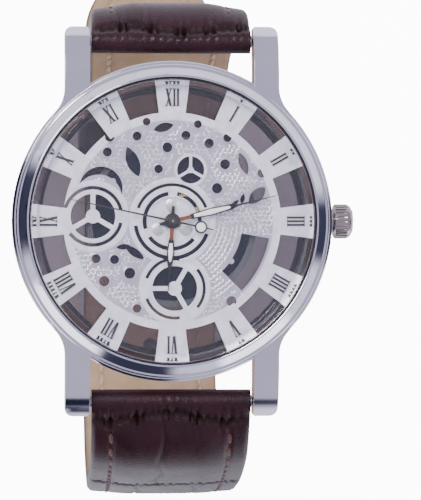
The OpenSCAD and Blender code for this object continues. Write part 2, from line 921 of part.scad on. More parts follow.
module ic_chip() {
    color("black")
        at_dial()
            translate([-4.4, 4.6, -2.6])
                rotate(40)
                    translate([-0.9, -0.9, 0])
                        cube([1.8, 1.8, 0.5]);
}

// ---------------------------------------------------------------- dial

dial_feet = [[-7.4, 5], [7.4, -5]];
sub_dials = [[-9.9, 0.6], [0.3, -8.4]];
sub_slot_r = 3.6;
sub_window_r = 2.8;
sub_hub_r = 0.9;
// the small round piercings: centre and radius
piercings = [
    [-3.2, 12.4, 0.5], [-4.4, 10.6, 0.57], [-7.8, 10.5, 0.62], [-8.1, 8.6, 0.57], [-11.1, 7.4, 0.54],
    [-0.6, 9.2, 0.62], [1.7, 10.7, 0.57], [3.2, 12.1, 0.5], [4.6, 9.7, 0.6], [-1.7, 6.5, 0.54],
    [6.9, 10.4, 0.53], [6.6, 7.1, 0.62], [11.2, 6, 0.57], [5.6, 4.1, 0.65], [-9.5, -4.7, 0.57],
    [-7.2, -4.8, 0.57], [-5.3, -6.5, 0.68], [-8.5, -7.5, 0.65], [-4.4, -10.9, 0.54], [7.4, -10, 0.65]];

module sector(r, from, to) {
    polygon(concat([[0, 0]], [for (i = [0:6]) polar(r * 1.3, from + (to - from) * i / 6)]));
}

// a curved slot between two angles
module arc_slot(r_in, r_out, from, to) {
    intersection() {
        difference() {
            circle(r_out);
            circle(r_in);
        }
        sector(r_out, from, to);
    }
}

// three windows round a hub, with straight spokes between them
module spoke_windows(r_in, r_out, spoke_w, spokes) {
    difference() {
        circle(r_out);
        circle(r_in);
        for (a = spokes)
            rotate(a)
                translate([0, -spoke_w / 2])
                    square([r_out + 1, spoke_w]);
    }
}

// the part of one disc that another leaves
module crescent(at, r, cut_at, cut_r) {
    difference() {
        translate(at)
            circle(r);
        translate(cut_at)
            circle(cut_r);
    }
}

module leaf(at, length, width, angle) {
    r = (pow(length / 2, 2) + pow(width / 2, 2)) / width;
    translate(at)
        rotate(angle)
            intersection() {
                translate([0, r - width / 2])
                    circle(r);
                translate([0, width / 2 - r])
                    circle(r);
            }
}

module dial_piercings() {
    for (p = piercings)
        translate([p[0], p[1]])
            circle(p[2]);
    // left wheel
    translate(sub_dials[0]) {
        arc_slot(3.35, 3.8, 13, 167);
        arc_slot(3.35, 3.8, 193, 347);
        spoke_windows(sub_hub_r, sub_window_r, 0.6, [90, 210, 330]);
    }
    // lower wheel
    translate(sub_dials[1]) {
        arc_slot(3.5, 3.9, 80, 160);
        arc_slot(3.5, 3.9, 200, 280);
        arc_slot(3.5, 3.9, -40, 40);
        spoke_windows(sub_hub_r, sub_window_r, 0.6, [180, 60, -60]);
    }
    // slots round the centre
    arc_slot(4.35, 4.75, 22, 159);
    arc_slot(4.35, 4.85, 187, 340);
    arc_slot(3.2, 3.7, 98, 196);
    arc_slot(3.2, 3.7, 215, 320);
    arc_slot(3.2, 3.7, 340, 440);
    // three-petalled wheel above the centre
    translate([2.3, 6.4])
        spoke_windows(0.4, 1.7, 0.35, [90, 210, 330]);
    // long window at lower right, a slot near twelve and the ornament's leaves
    arc_slot(8.8, 12.3, -45, -10);
    leaf([-1.1, 11.7], 2.6, 1.1, 15);
    leaf([-4.9, 7.4], 4, 1.6, -68);
    crescent([-8.9, 4.1], 2.7, [-9.2, 2.9], 2.9);
    leaf([8.9, 7.2], 3, 1.1, -70);
    leaf([10.6, 3.2], 2.9, 1.5, 45);
    leaf([8.8, 2.8], 1.3, 0.6, 75);
    leaf([7.8, 2.2], 1.5, 0.5, 40);
    leaf([-4.7, -3.9], 3, 1, -35);
    leaf([-6.1, -3.2], 1.8, 0.7, 5);
}

module dial_rims() {
    rim_w = 0.2;
    for (p = piercings)
        translate([p[0], p[1]])
            difference() {
                circle(p[2] + rim_w);
                circle(p[2]);
            }
    for (p = sub_dials)
        translate(p) {
            ring_2d(sub_window_r, 3.2);
            ring_2d(4, 4.35);
        }
    ring_2d(3.75, 4.3);
    ring_2d(4.9, 5.25);
    ring_2d(3, 3.15);
    translate([2.3, 6.4])
        ring_2d(1.7, 2);
}

module ring_2d(r_in, r_out) {
    difference() {
        circle(r_out);
        circle(r_in);
    }
}

module pad_plan() {
    intersection() {
        ring_2d(plate_r - 0.8, dial_r);
        for (h = [0:11])
            rotate(h * 30)
                sector(dial_r, -pad_angle / 2, pad_angle / 2);
    }
}

module dial_plate() {
    pad_step = 0.1;
    recess_r = 3;
    color("whitesmoke")
        at_dial()
            difference() {
                union() {
                    translate([0, 0, -dial_t])
                        linear_extrude(dial_t) {
                            difference() {
                                circle(plate_r);
                                scale(art)
                                    dial_piercings();
                            }
                        }
                    translate([0, 0, -dial_t])
                        linear_extrude(dial_t + pad_step)
                            pad_plan();
                    translate([0, 0, -pad_step])
                        linear_extrude(pad_step + rim_h)
                            intersection() {
                                circle(plate_r - 0.8);
                                difference() {
                                    scale(art)
                                        dial_rims();
                                    scale(art)
                                        dial_piercings();
                                }
                            }
                    for (p = dial_feet)
                        translate([p[0], p[1], train_top + 0.1])
                            cylinder(r = 0.35, h = -train_top - 0.2);
                }
                translate([0, 0, -0.15])
                    cylinder(r = recess_r * art, h = past);
                translate([0, 0, -dial_t - past])
                    cylinder(r = centre_hole_r, h = dial_t + 2 * past);
            }
}

// ---------------------------------------------------------------- numerals

thick = 0.3;
thin = 0.13;
serif = 0.1;
i_w = 0.46;
v_w = 0.95;
x_w = 0.95;
numerals = ["XII", "I", "II", "III", "IIII", "V", "VI", "VII", "VIII", "IX", "X", "XI"];
function glyph_w(c) = c == "I" ? i_w : c == "V" ? v_w : x_w;
function width_to(word, n) = n == 0 ? 0 : width_to(word, n - 1) + glyph_w(word[n - 1]);

module bar_between(a, b, w) {
    polygon([a - [w / 2, 0], a + [w / 2, 0], b + [w / 2, 0], b - [w / 2, 0]]);
}

module serif_at(x, y, w) {
    translate([x - w / 2, y])
        square([w, serif]);
}

module glyph(c) {
    h = numeral_h;
    if (c == "I") {
        bar_between([0, 0], [0, h], thick * 0.85);
        serif_at(0, 0, i_w - 0.06);
        serif_at(0, h - serif, i_w - 0.06);
    }
    if (c == "V") {
        bar_between([0, 0], [-v_w / 2 + 0.25, h], thick);
        bar_between([0.08, 0], [v_w / 2 - 0.2, h], thin);
        serif_at(-v_w / 2 + 0.24, h - serif, 0.44);
        serif_at(v_w / 2 - 0.22, h - serif, 0.36);
    }
    if (c == "X") {
        bar_between([x_w / 2 - 0.24, 0], [-x_w / 2 + 0.24, h], thick);
        bar_between([-x_w / 2 + 0.2, 0], [x_w / 2 - 0.2, h], thin);
        for (y = [0, h - serif]) {
            serif_at(-x_w / 2 + 0.23, y, 0.38);
            serif_at(x_w / 2 - 0.23, y, 0.38);
        }
    }
}

module dial_numerals() {
    mid_r = (plate_r + dial_r) / 2 + 0.05;
    color("black")
        at_dial()
            translate([0, 0, 0.1])
                linear_extrude(numeral_t)
                    for (h = [0:11])
                        rotate(-30 * h)
                            for (i = [0:len(numerals[h]) - 1])
                                translate([width_to(numerals[h], i) - width_to(numerals[h], len(numerals[h])) / 2
                                    + glyph_w(numerals[h][i]) / 2, mid_r - numeral_h / 2])
                                    glyph(numerals[h][i]);
}

// ---------------------------------------------------------------- hands

// half of a hand's outline as [distance, half width] pairs, mirrored about its length
module hand_plan(half) {
    polygon(concat(half, [for (i = [len(half) - 1:-1:0]) [half[i][0], -half[i][1]]]));
}

module lume_plan(from, to, w) {
    hand_plan([[from, w * 0.3], [from + (to - from) * 0.45, w / 2], [to - 0.3, w * 0.3], [to, w * 0.08]]);
}

module pointed_hand(angle, z, t, hub_r, bore_r, neck_to, body_to, tip, body_w) {
    needle = 0.12;
    translate([0, 0, z])
        rotate(angle)
            difference() {
                union() {
                    cylinder(r = hub_r, h = t);
                    linear_extrude(t)
                        hand_plan([[-hub_r - 0.9, 0.16], [0, 0.3], [neck_to - 0.5, 0.22], [neck_to, 0.34],
                            [(neck_to + body_to) / 2, body_w / 2], [body_to, body_w * 0.36],
                            [body_to + 0.8, needle], [tip, 0.05]]);
                }
                translate([0, 0, -past])
                    cylinder(r = bore_r, h = t + 2 * past);
                translate([0, 0, -past])
                    linear_extrude(t + 2 * past)
                        lume_plan(neck_to + 0.25, body_to - 0.1, body_w - 0.3);
            }
}

module lume(angle, z, t, neck_to, body_to, body_w) {
    translate([0, 0, z])
        rotate(angle)
            linear_extrude(t)
                lume_plan(neck_to + 0.25 + seat_gap, body_to - 0.1 - seat_gap, body_w - 0.3 - 2 * seat_gap);
}

hour_z = 0.45;
minute_z = 0.92;
second_z = 1.34;
hand_t = 0.17;
hand_neck = 2.5;
hour_body_to = 5.25;
minute_body_to = 7.6;
hour_body_w = 0.95;
minute_body_w = 1;
second_disc_at = 3.6;
second_disc_r = 0.57;
second_t = 0.12;

module hour_hand() {
    color("black")
        at_dial()
            pointed_hand(clock(hour_at * 5), hour_z, hand_t, 1, 0.65 + seat_gap, hand_neck, hour_body_to,
                hour_len, hour_body_w);
}

module hour_lume() {
    color("ivory")
        at_dial()
            lume(clock(hour_at * 5), hour_z, hand_t, hand_neck, hour_body_to, hour_body_w);
}

module minute_hand() {
    color("black")
        at_dial()
            pointed_hand(clock(minute_at), minute_z, hand_t, 0.75, 0.35 + seat_gap, hand_neck, minute_body_to,
                minute_len, minute_body_w);
}

module minute_lume() {
    color("ivory")
        at_dial()
            lume(clock(minute_at), minute_z, hand_t, hand_neck, minute_body_to, minute_body_w);
}

module second_hand() {
    color("black")
        at_dial()
            translate([0, 0, second_z])
                rotate(clock(second_at))
                    difference() {
                        union() {
                            cylinder(r = 0.5, h = second_t);
                            linear_extrude(second_t)
                                hand_plan([[-second_disc_at - 1.6, 0.08], [0, 0.14], [second_len, 0.05]]);
                            translate([-second_disc_at, 0, 0])
                                cylinder(r = 0.8, h = second_t);
                        }
                        translate([0, 0, -past])
                            cylinder(r = arbor_r + seat_gap, h = 2 * past);
                        translate([-second_disc_at, 0, -past])
                            cylinder(r = second_disc_r + seat_gap, h = 2 * past);
                    }
}

module second_lume() {
    color("ivory")
        at_dial()
            translate([0, 0, second_z])
                rotate(clock(second_at))
                    translate([-second_disc_at, 0, 0])
                        cylinder(r = second_disc_r, h = second_t);
}

// ---------------------------------------------------------------- strap

module spring_bar(y, z) {
    sleeve = lug_in - 0.1;
    translate([0, y, z])
        rotate([0, 90, 0]) {
            translate([0, 0, -sleeve])
                cylinder(r = bar_d / 2, h = 2 * sleeve);
            translate([0, 0, -lug_in - bar_pin_in])
                cylinder(r = bar_pin_d / 2, h = 2 * (lug_in + bar_pin_in));
        }
}

module spring_bar_12() {
    color("silver")
        spring_bar(bar_y, bar_z);
}

module spring_bar_6() {
    color("silver")
        spring_bar(-bar_y, bar_z);
}

module strap_12_leather() {
    end = on_12(strap_12_len);
    places = concat(bar_stations(strap_12_len),
        [strap_12_len - turn_in + glue, strap_12_len - turn_in / 2, strap_12_len]);
    color("saddlebrown")
        difference() {
            union() {
                sweep([for (s = places)
                    let (hw = strap_half_w(s, strap_12_len), t = thick_12(s))
                    [for (q = leather_ring(hw, -t / 2 + leather_base(s, strap_12_len), t / 2))
                        place(on_12(s), q)]]);
                bar_loop([bar_y, bar_z], strap_bar_t / 2, strap_w / 2);
                bar_loop(end, buckle_loop_r, strap_tail_w / 2);
            }
            cross_bore(bar_y, bar_z, bar_d / 2 + bar_gap);
            cross_bore(end[0], end[1], buckle_bar_r + bar_gap);
            at_station(end)
                translate([-slot_w / 2, -3.4, -strap_pad_t])
                    cube([slot_w, 3.4 + buckle_loop_r + past, 2 * strap_pad_t]);
        }
}

// the leather turned round a bar
module bar_loop(at, r, hw) {
    translate([-hw, at[0], at[1]])
        rotate([0, 90, 0])
            cylinder(r = r, h = 2 * hw);
}

module strap_12_lining() {
    color("burlywood")
        sweep([for (s = stations(turn_in, strap_12_len - turn_in))
            let (hw = strap_half_w(s, strap_12_len) - 0.15, t = thick_12(s))
            [for (q = lining_ring(hw, -t / 2, -t / 2 + lining_t - glue)) place(on_12(s), q)]]);
}

module strap_6_leather() {
    color("saddlebrown")
        mirror([0, 1, 0])
            difference() {
                union() {
                    sweep([for (s = concat([0, turn_in / 2, turn_in - glue],
                            tip_stations(turn_in, strap_6_len)))
                        let (hw = strap_half_w(s, strap_6_len) * tip_half_w(s), t = thick_6(s),
                            base = s < turn_in ? glue : lining_t + glue)
                        [for (q = leather_ring(hw, -t / 2 + base, t / 2)) place(on_6(s), q)]]);
                    bar_loop([bar_y, bar_z], strap_bar_t / 2, strap_w / 2);
                }
                cross_bore(bar_y, bar_z, bar_d / 2 + bar_gap);
                adjuster_holes();
            }
}

module strap_6_lining() {
    color("burlywood")
        mirror([0, 1, 0])
            difference() {
                sweep([for (s = tip_stations(turn_in, strap_6_len - 0.2))
                    let (t = thick_6(s),
                        hw = strap_half_w(s, strap_6_len) * tip_half_w(s + 0.2) - 0.15 * tip_half_w(s))
                    [for (q = lining_ring(hw, -t / 2, -t / 2 + lining_t - glue)) place(on_6(s), q)]]);
                adjuster_holes();
            }
}

module adjuster_holes() {
    for (i = [0:hole_n - 1])
        at_station(on_6(strap_6_len - hole_from_tip - i * hole_pitch))
            translate([0, 0, -strap_t])
                cylinder(r = hole_d / 2, h = 2 * strap_t);
}

module keeper(s) {
    t = thick_12(s);
    low = -t / 2 - 0.15;
    high = t / 2 + keeper_room;
    bevel = 0.8;
    out = keeper_hw + keeper_t;
    at_station(on_12(s))
        rotate([90, 0, 0])
            translate([0, 0, -keeper_w / 2])
                linear_extrude(keeper_w)
                    difference() {
                        polygon([[-out + bevel, low - keeper_t], [out - bevel, low - keeper_t],
                            [out, low - keeper_t + bevel], [out, high + keeper_t - bevel],
                            [out - bevel, high + keeper_t], [-out + bevel, high + keeper_t],
                            [-out, high + keeper_t - bevel], [-out, low - keeper_t + bevel]]);
                        translate([-keeper_hw, low])
                            square([2 * keeper_hw, high - low]);
                    }
}

module fixed_keeper() {
    color("saddlebrown")
        keeper(fixed_keeper_at);
}

module free_keeper() {
    color("saddlebrown")
        keeper(free_keeper_at);
}

// ---------------------------------------------------------------- buckle, hanging straight down from its bar

module at_buckle() {
    end = on_12(strap_12_len);
    translate([0, end[0], end[1]])
        children();
}

module buckle_frame() {
    open_len = buckle_len - buckle_end_w;
    color("silver")
        at_buckle()
            difference() {
                translate([0, buckle_t / 2, 0])
                    rotate([90, 0, 0])
                        linear_extrude(buckle_t)
                            difference() {
                                polygon([[-arm_out, 1.4], [-arm_in, 1.4], [-arm_in, -1], [arm_in, -1],
                                    [arm_in, 1.4], [arm_out, 1.4], [arm_out, -buckle_len + 1.2],
                                    [arm_out - 1.2, -buckle_len], [-arm_out + 1.2, -buckle_len],
                                    [-arm_out, -buckle_len + 1.2]]);
                                translate([-arm_in, -open_len])
                                    square([2 * arm_in, open_len]);
                            }
                translate([-arm_out - past, 0, 0])
                    rotate([0, 90, 0])
                        cylinder(r = bar_pin_d / 2 + run_gap, h = 2 * (arm_out + past));
            }
}

module buckle_bar() {
    sleeve = arm_in - 0.1;
    color("silver")
        at_buckle()
            rotate([0, 90, 0]) {
                translate([0, 0, -sleeve])
                    cylinder(r = buckle_bar_r, h = 2 * sleeve);
                translate([0, 0, -arm_out])
                    cylinder(r = bar_pin_d / 2, h = 2 * arm_out);
            }
}

module buckle_tongue() {
    eye_r = buckle_bar_r + run_gap + 0.45;
    tongue_t = 0.9;
    face = buckle_t / 2 + run_gap;
    color("silver")
        at_buckle()
            translate([-tongue_w / 2, 0, 0])
                rotate([90, 0, 90])
                    difference() {
                        union() {
                            cylinder(r = eye_r, h = tongue_w);
                            linear_extrude(tongue_w)
                                polygon([[0.2, -0.6], [eye_r - 0.1, 0], [face + tongue_t, -2.2],
                                    [face + tongue_t, -buckle_len + 0.1],
                                    [face + tongue_t - 0.3, -buckle_len - 0.3],
                                    [face, -buckle_len - 0.3], [face, -2.6]]);
                        }
                        translate([0, 0, -past])
                            cylinder(r = buckle_bar_r + run_gap, h = tongue_w + 2 * past);
                    }
}

case_middle();
bezel();
crystal();
crystal_gasket();
dial_ring();
dial_plate();
dial_numerals();
movement_holder();
case_back();
back_crystal();
back_gasket();
crown();
crown_gasket();
crown_tube();
stem();
sliding_pinion();
setting_lever();
main_plate();
train_bridge();
bridge_screws();
battery();
battery_clamp();
coil_core();
coil_winding();
stator();
rotor();
intermediate_wheel();
fourth_wheel();
third_wheel();
centre_wheel();
minute_wheel();
hour_wheel();
circuit_board();
quartz_can();
ic_chip();
hour_hand();
hour_lume();
minute_hand();
minute_lume();
second_hand();
second_lume();
spring_bar_12();
spring_bar_6();
strap_12_leather();
strap_12_lining();
strap_6_leather();
strap_6_lining();
fixed_keeper();
free_keeper();
buckle_frame();
buckle_bar();
buckle_tongue();
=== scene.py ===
import json
import math
import random

import bmesh
import bpy
from mathutils import Matrix, Vector
from mathutils.bvhtree import BVHTree


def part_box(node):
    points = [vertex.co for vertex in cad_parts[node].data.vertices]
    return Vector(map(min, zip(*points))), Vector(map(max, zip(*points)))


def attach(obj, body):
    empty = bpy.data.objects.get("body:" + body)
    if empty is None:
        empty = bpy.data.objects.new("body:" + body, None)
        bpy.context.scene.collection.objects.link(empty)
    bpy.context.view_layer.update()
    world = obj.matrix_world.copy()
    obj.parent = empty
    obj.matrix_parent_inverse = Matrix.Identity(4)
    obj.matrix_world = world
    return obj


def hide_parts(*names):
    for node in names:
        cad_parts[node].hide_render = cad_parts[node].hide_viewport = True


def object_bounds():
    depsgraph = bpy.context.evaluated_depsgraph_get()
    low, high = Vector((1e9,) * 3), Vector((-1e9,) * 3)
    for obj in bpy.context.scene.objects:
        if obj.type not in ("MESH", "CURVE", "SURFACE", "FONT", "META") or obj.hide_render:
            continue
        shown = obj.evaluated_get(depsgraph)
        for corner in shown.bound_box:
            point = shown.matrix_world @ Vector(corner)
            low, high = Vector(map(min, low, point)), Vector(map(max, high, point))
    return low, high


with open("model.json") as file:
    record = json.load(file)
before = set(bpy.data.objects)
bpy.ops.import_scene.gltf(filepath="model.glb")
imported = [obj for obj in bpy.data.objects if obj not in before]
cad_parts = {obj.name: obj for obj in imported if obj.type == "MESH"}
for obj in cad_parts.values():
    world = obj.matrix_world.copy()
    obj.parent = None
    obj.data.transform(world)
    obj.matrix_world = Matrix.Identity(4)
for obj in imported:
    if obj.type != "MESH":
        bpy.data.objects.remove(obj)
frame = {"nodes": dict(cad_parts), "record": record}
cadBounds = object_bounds()
mm = 0.001
nodes = frame["nodes"]
bodyOf = {node: body for body, group in frame["record"]["behaviour"]["bodies"].items() for node in group}

rimHeight = 0.12 * mm    # the dial's rims stand this far above its face
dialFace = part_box("dial_plate")[1].z - rimHeight


# ---- small helpers

def clearSelection():
    if bpy.context.object and bpy.context.object.mode != "OBJECT":
        bpy.ops.object.mode_set(mode="OBJECT")
    bpy.ops.object.select_all(action="DESELECT")


def takeUp(piece):
    clearSelection()
    piece.select_set(True)
    bpy.context.view_layer.objects.active = piece


def addModifier(piece, kind, **values):
    takeUp(piece)
    modifier = piece.modifiers.new(kind.title(), kind)
    for key, value in values.items():
        setattr(modifier, key, value)
    bpy.ops.object.modifier_apply(modifier=modifier.name)


def editAll(piece, *steps):
    takeUp(piece)
    bpy.ops.object.mode_set(mode="EDIT")
    bpy.ops.mesh.select_all(action="SELECT")
    for step in steps:
        step()
    bpy.ops.object.mode_set(mode="OBJECT")


def weld(distance=1e-7):
    bpy.ops.mesh.remove_doubles(threshold=distance)


def dropSlivers(distance=1e-6):
    bpy.ops.mesh.dissolve_degenerate(threshold=distance)


def facesOut():
    bpy.ops.mesh.normals_make_consistent(inside=False)


def mix(a, b, t):
    return a + (b - a) * min(1, max(0, t))


def ease(t):
    t = min(1, max(0, t))
    return t * t * (3 - 2 * t)


def smooth(piece, angle=30):
    takeUp(piece)
    bpy.ops.object.shade_smooth_by_angle(angle=math.radians(angle))


def settle(piece, name, body, slot, material, *replaced):
    piece.name = name
    piece.data.name = name
    piece.data.materials.clear()
    piece.data.materials.append(material)
    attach(piece, body)
    if replaced:
        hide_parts(*replaced)


def stampCopies(template, places, name):
    # one mesh holding a copy of the template at each place, each with its own vertices
    gathered = bmesh.new()
    for place in places:
        copied = template.data.copy()
        copied.transform(place)
        gathered.from_mesh(copied)
        bpy.data.meshes.remove(copied)
    mesh = bpy.data.meshes.new(name)
    gathered.to_mesh(mesh)
    gathered.free()
    bpy.data.objects.remove(template)
    piece = bpy.data.objects.new(name, mesh)
    bpy.context.scene.collection.objects.link(piece)
    return piece


# ---- small shader steps

def fill(node, **values):
    # a space in an input's name is written as a low line
    for key, value in values.items():
        node.inputs[key.replace("_", " ")].default_value = value


def feed(tree, value, socket):
    # a socket takes another node's output, or a plain value
    if hasattr(value, "links"):
        tree.links.new(value, socket)
    else:
        socket.default_value = value


def addNode(tree, kind, **values):
    node = tree.nodes.new("ShaderNode" + kind)
    for key, value in values.items():
        setattr(node, key, value)
    return node


def addMath(tree, operation, *values):
    node = addNode(tree, "Math", operation=operation)
    for socket, value in zip(node.inputs, values):
        feed(tree, value, socket)
    return node.outputs[0]


def addRange(tree, value, low, high, toLow=0.0, toHigh=1.0, **values):
    node = addNode(tree, "MapRange", **values)
    for key, given in (("Value", value), ("From Min", low), ("From Max", high), ("To Min", toLow),
                       ("To Max", toHigh)):
        feed(tree, given, node.inputs[key])
    return node.outputs["Result"]


def measure(tree, operation, first, second=(0, 0, 0)):
    # a vector's length, its distance from a point, or how far it points one way
    node = addNode(tree, "VectorMath", operation=operation)
    feed(tree, first, node.inputs[0])
    feed(tree, second, node.inputs[1])
    return node.outputs["Value"]


def blendColours(tree, factor, first, second):
    node = addNode(tree, "Mix", data_type="RGBA")
    feed(tree, factor, node.inputs["Factor"])
    for socket, value in ((node.inputs[6], first), (node.inputs[7], second)):
        feed(tree, value if hasattr(value, "links") else (*value, 1), socket)
    return node.outputs[2]


# ---- camera, lights and world

viewSet = {
    "height": 500 * mm, "left": 25 * mm, "aimX": 4.8 * mm, "aimY": -3.6 * mm, "fieldWidth": 52.6 * mm,
    "sensor": 36, "nearest": 0.01,
}
# "mirrored" lamps also show as a highlight in polished pieces
lightSet = {
    "key": {"at": (-0.35, 0.42, 0.95), "size": 0.5, "watts": 8, "colour": (1.0, 0.985, 0.97),
            "mirrored": True},
    "fill": {"at": (0.55, 0.1, 0.7), "size": 0.6, "watts": 3.5, "colour": (0.93, 0.93, 1.0),
             "mirrored": False},
}


def makeCamera(s):
    camera = bpy.data.objects.new("viewCamera", bpy.data.cameras.new("viewCamera"))
    bpy.context.scene.collection.objects.link(camera)
    side = s["aimX"] + s["left"]
    camera.location = (-s["left"], s["aimY"], dialFace + s["height"])
    camera.rotation_euler = (0, -math.atan2(side, s["height"]), 0)
    camera.data.sensor_fit = "HORIZONTAL"
    camera.data.sensor_width = s["sensor"]
    camera.data.lens = s["sensor"] * math.hypot(side, s["height"]) / s["fieldWidth"]
    camera.data.clip_start = s["nearest"]
    bpy.context.scene.camera = camera


def makeLights(s):
    for name, light in s.items():
        lamp = bpy.data.objects.new(name + "Light", bpy.data.lights.new(name + "Light", "AREA"))
        bpy.context.scene.collection.objects.link(lamp)
        lamp.location = light["at"]
        aim = Vector((0, 0, dialFace)) - lamp.location
        lamp.rotation_euler = aim.to_track_quat("-Z", "Y").to_euler()
        lamp.data.shape = "DISK"
        lamp.data.size = light["size"]
        lamp.data.energy = light["watts"]
        lamp.data.color = light["colour"]
        lamp.visible_glossy = light["mirrored"]


worldSet = {
    "pale": (0.79, 0.765, 0.98), "dark": (0.008, 0.012, 0.035), "strength": 0.78, "seen": 14.0,
    # dark sides of the room, bright ways across the floor, and the cosines each fades in between
    "sides": (((-1, 0.1, 0.22), 0.9, 0.955), ((-0.22, -1, 0.2), 0.93, 0.965),
              ((1, -0.05, 0.12), 0.955, 0.985)),
    "bright": (((-0.72, -0.7, 0.0), 0.93, 0.97), ((0.6, -0.8, 0.0), 0.95, 0.98)),
}


def addSides(tree, way, sides):
    # how far a direction looks at one of the given sides
    found = None
    for side, low, high in sides:
        facing = measure(tree, "DOT_PRODUCT", way, Vector(side).normalized())
        one = addRange(tree, facing, low, high, interpolation_type="SMOOTHSTEP")
        found = one if found is None else addMath(tree, "MAXIMUM", found, one)
    return found


def makeWorld(s):
    # a pale room with three dark sides, which polished steel needs to read as steel
    world = bpy.data.worlds.new("studio")
    bpy.context.scene.world = world
    world.use_nodes = True
    tree = world.node_tree
    way = addNode(tree, "TexCoord").outputs["Generated"]
    seen = addNode(tree, "LightPath").outputs["Is Camera Ray"]
    # looked at directly the room is as white as the floor, and has no dark sides
    shade = addMath(tree, "SUBTRACT", addSides(tree, way, s["sides"]), seen)
    background = tree.nodes["Background"]
    feed(tree, blendColours(tree, shade, s["pale"], s["dark"]), background.inputs["Color"])
    feed(tree, addRange(tree, seen, 0, 1, s["strength"], s["seen"]), background.inputs["Strength"])


makeCamera(viewSet)
makeLights(lightSet)
makeWorld(worldSet)
print("camera, lights and world are set")


# ---- shader groups, each built once and used by several finishes

def newGroup(name, inputs, outputs):
    tree = bpy.data.node_groups.new(name, "ShaderNodeTree")
    for label, value in inputs.items():
        tree.interface.new_socket(label, in_out="INPUT", socket_type="NodeSocketFloat").default_value = value
    for label in outputs:
        tree.interface.new_socket(label, in_out="OUTPUT", socket_type="NodeSocketFloat")
    return tree, tree.nodes.new("NodeGroupInput"), tree.nodes.new("NodeGroupOutput")


def objectPoint(tree, stretch=(1, 1, 1)):
    place = addNode(tree, "TexCoord")
    mapping = addNode(tree, "Mapping")
    fill(mapping, Scale=stretch)
    feed(tree, place.outputs["Object"], mapping.inputs["Vector"])
    return mapping.outputs["Vector"]


def addNoise(tree, vector, scale, detail=3.0, roughness=0.55):
    node = addNode(tree, "TexNoise")
    feed(tree, vector, node.inputs["Vector"])
    for key, value in (("Scale", scale), ("Detail", detail), ("Roughness", roughness)):
        feed(tree, value, node.inputs[key])
    return node.outputs["Fac"]


def makeHandlingWear():
    # soft smears and hair-fine scratches left by handling
    tree, given, out = newGroup("handlingWear", {"Smear Scale": 160, "Scratch Scale": 900},
                                ("Smear", "Height"))
    smear = addNoise(tree, objectPoint(tree), given.outputs["Smear Scale"], 4)
    one = addNoise(tree, objectPoint(tree, (1, 16, 3)), given.outputs["Scratch Scale"], 2)
    two = addNoise(tree, objectPoint(tree, (14, 1, 5)), given.outputs["Scratch Scale"], 2)
    crossed = addMath(tree, "MAXIMUM", addRange(tree, one, 0.66, 0.78), addRange(tree, two, 0.68, 0.8))
    feed(tree, addRange(tree, smear, 0.35, 0.72), out.inputs["Smear"])
    feed(tree, crossed, out.inputs["Height"])
    return tree


def makeTurnedGrain():
    # fine rings left by a lathe or a brush about the Z axis through the dial's centre
    tree, given, out = newGroup("turnedGrain", {"Ring Scale": 9000}, ("Shade", "Height"))
    parts = addNode(tree, "SeparateXYZ")
    feed(tree, objectPoint(tree), parts.inputs[0])
    squares = addMath(tree, "ADD", addMath(tree, "MULTIPLY", parts.outputs[0], parts.outputs[0]),
                      addMath(tree, "MULTIPLY", parts.outputs[1], parts.outputs[1]))
    radius = addMath(tree, "SQRT", squares)
    joined = addNode(tree, "CombineXYZ")
    feed(tree, radius, joined.inputs[0])
    rings = addNoise(tree, joined.outputs[0], given.outputs["Ring Scale"], 2)
    feed(tree, addRange(tree, rings, 0.3, 0.7), out.inputs["Shade"])
    feed(tree, rings, out.inputs["Height"])
    return tree


def makeFrostGrain():
    # an even fine grain, as on sandblasted, moulded or lacquered surfaces
    tree, given, out = newGroup("frostGrain", {"Grain Scale": 6000, "Cloud Scale": 250}, ("Cloud", "Height"))
    grain = addNoise(tree, objectPoint(tree), given.outputs["Grain Scale"], 2)
    cloud = addNoise(tree, objectPoint(tree), given.outputs["Cloud Scale"], 3)
    feed(tree, addRange(tree, cloud, 0.3, 0.7), out.inputs["Cloud"])
    feed(tree, grain, out.inputs["Height"])
    return tree


def makeHideGrain():
    # leather's own pores and fine creases
    tree, given, out = newGroup("hideGrain", {"Pore Scale": 2600, "Mottle Scale": 260}, ("Mottle", "Height"))
    cells = addNode(tree, "TexVoronoi", feature="DISTANCE_TO_EDGE")
    feed(tree, objectPoint(tree), cells.inputs["Vector"])
    feed(tree, given.outputs["Pore Scale"], cells.inputs["Scale"])
    pores = addRange(tree, cells.outputs["Distance"], 0.0, 0.16)
    fine = addNoise(tree, objectPoint(tree), addMath(tree, "MULTIPLY", given.outputs["Pore Scale"], 2.2), 2)
    mottle = addNoise(tree, objectPoint(tree), given.outputs["Mottle Scale"], 5, 0.62)
    feed(tree, addRange(tree, mottle, 0.3, 0.72), out.inputs["Mottle"])
    feed(tree, addMath(tree, "ADD", pores, addMath(tree, "MULTIPLY", fine, 0.5)), out.inputs["Height"])
    return tree


groups = {"wear": makeHandlingWear(), "turned": makeTurnedGrain(), "frost": makeFrostGrain(),
          "hide": makeHideGrain()}


# ---- finishes

def startMaterial(name, metallic=0.0, **values):
    material = bpy.data.materials.new(name)
    material.use_nodes = True
    shader = material.node_tree.nodes["Principled BSDF"]
    fill(shader, Metallic=metallic, **values)
    return material, material.node_tree, shader


def useGroup(tree, kind, **values):
    node = addNode(tree, "Group", node_tree=groups[kind])
    fill(node, **values)
    return node


def coat(tree, shader, colour, mask, rough):
    # a colour, and a roughness that runs between two ends as a mask does
    feed(tree, colour, shader.inputs["Base Color"])
    feed(tree, addRange(tree, mask, 0, 1, *rough), shader.inputs["Roughness"])


def addBump(tree, shader, height, distance):
    bump = addNode(tree, "Bump")
    fill(bump, Distance=distance * mm)
    feed(tree, height, bump.inputs["Height"])
    feed(tree, bump.outputs["Normal"], shader.inputs["Normal"])


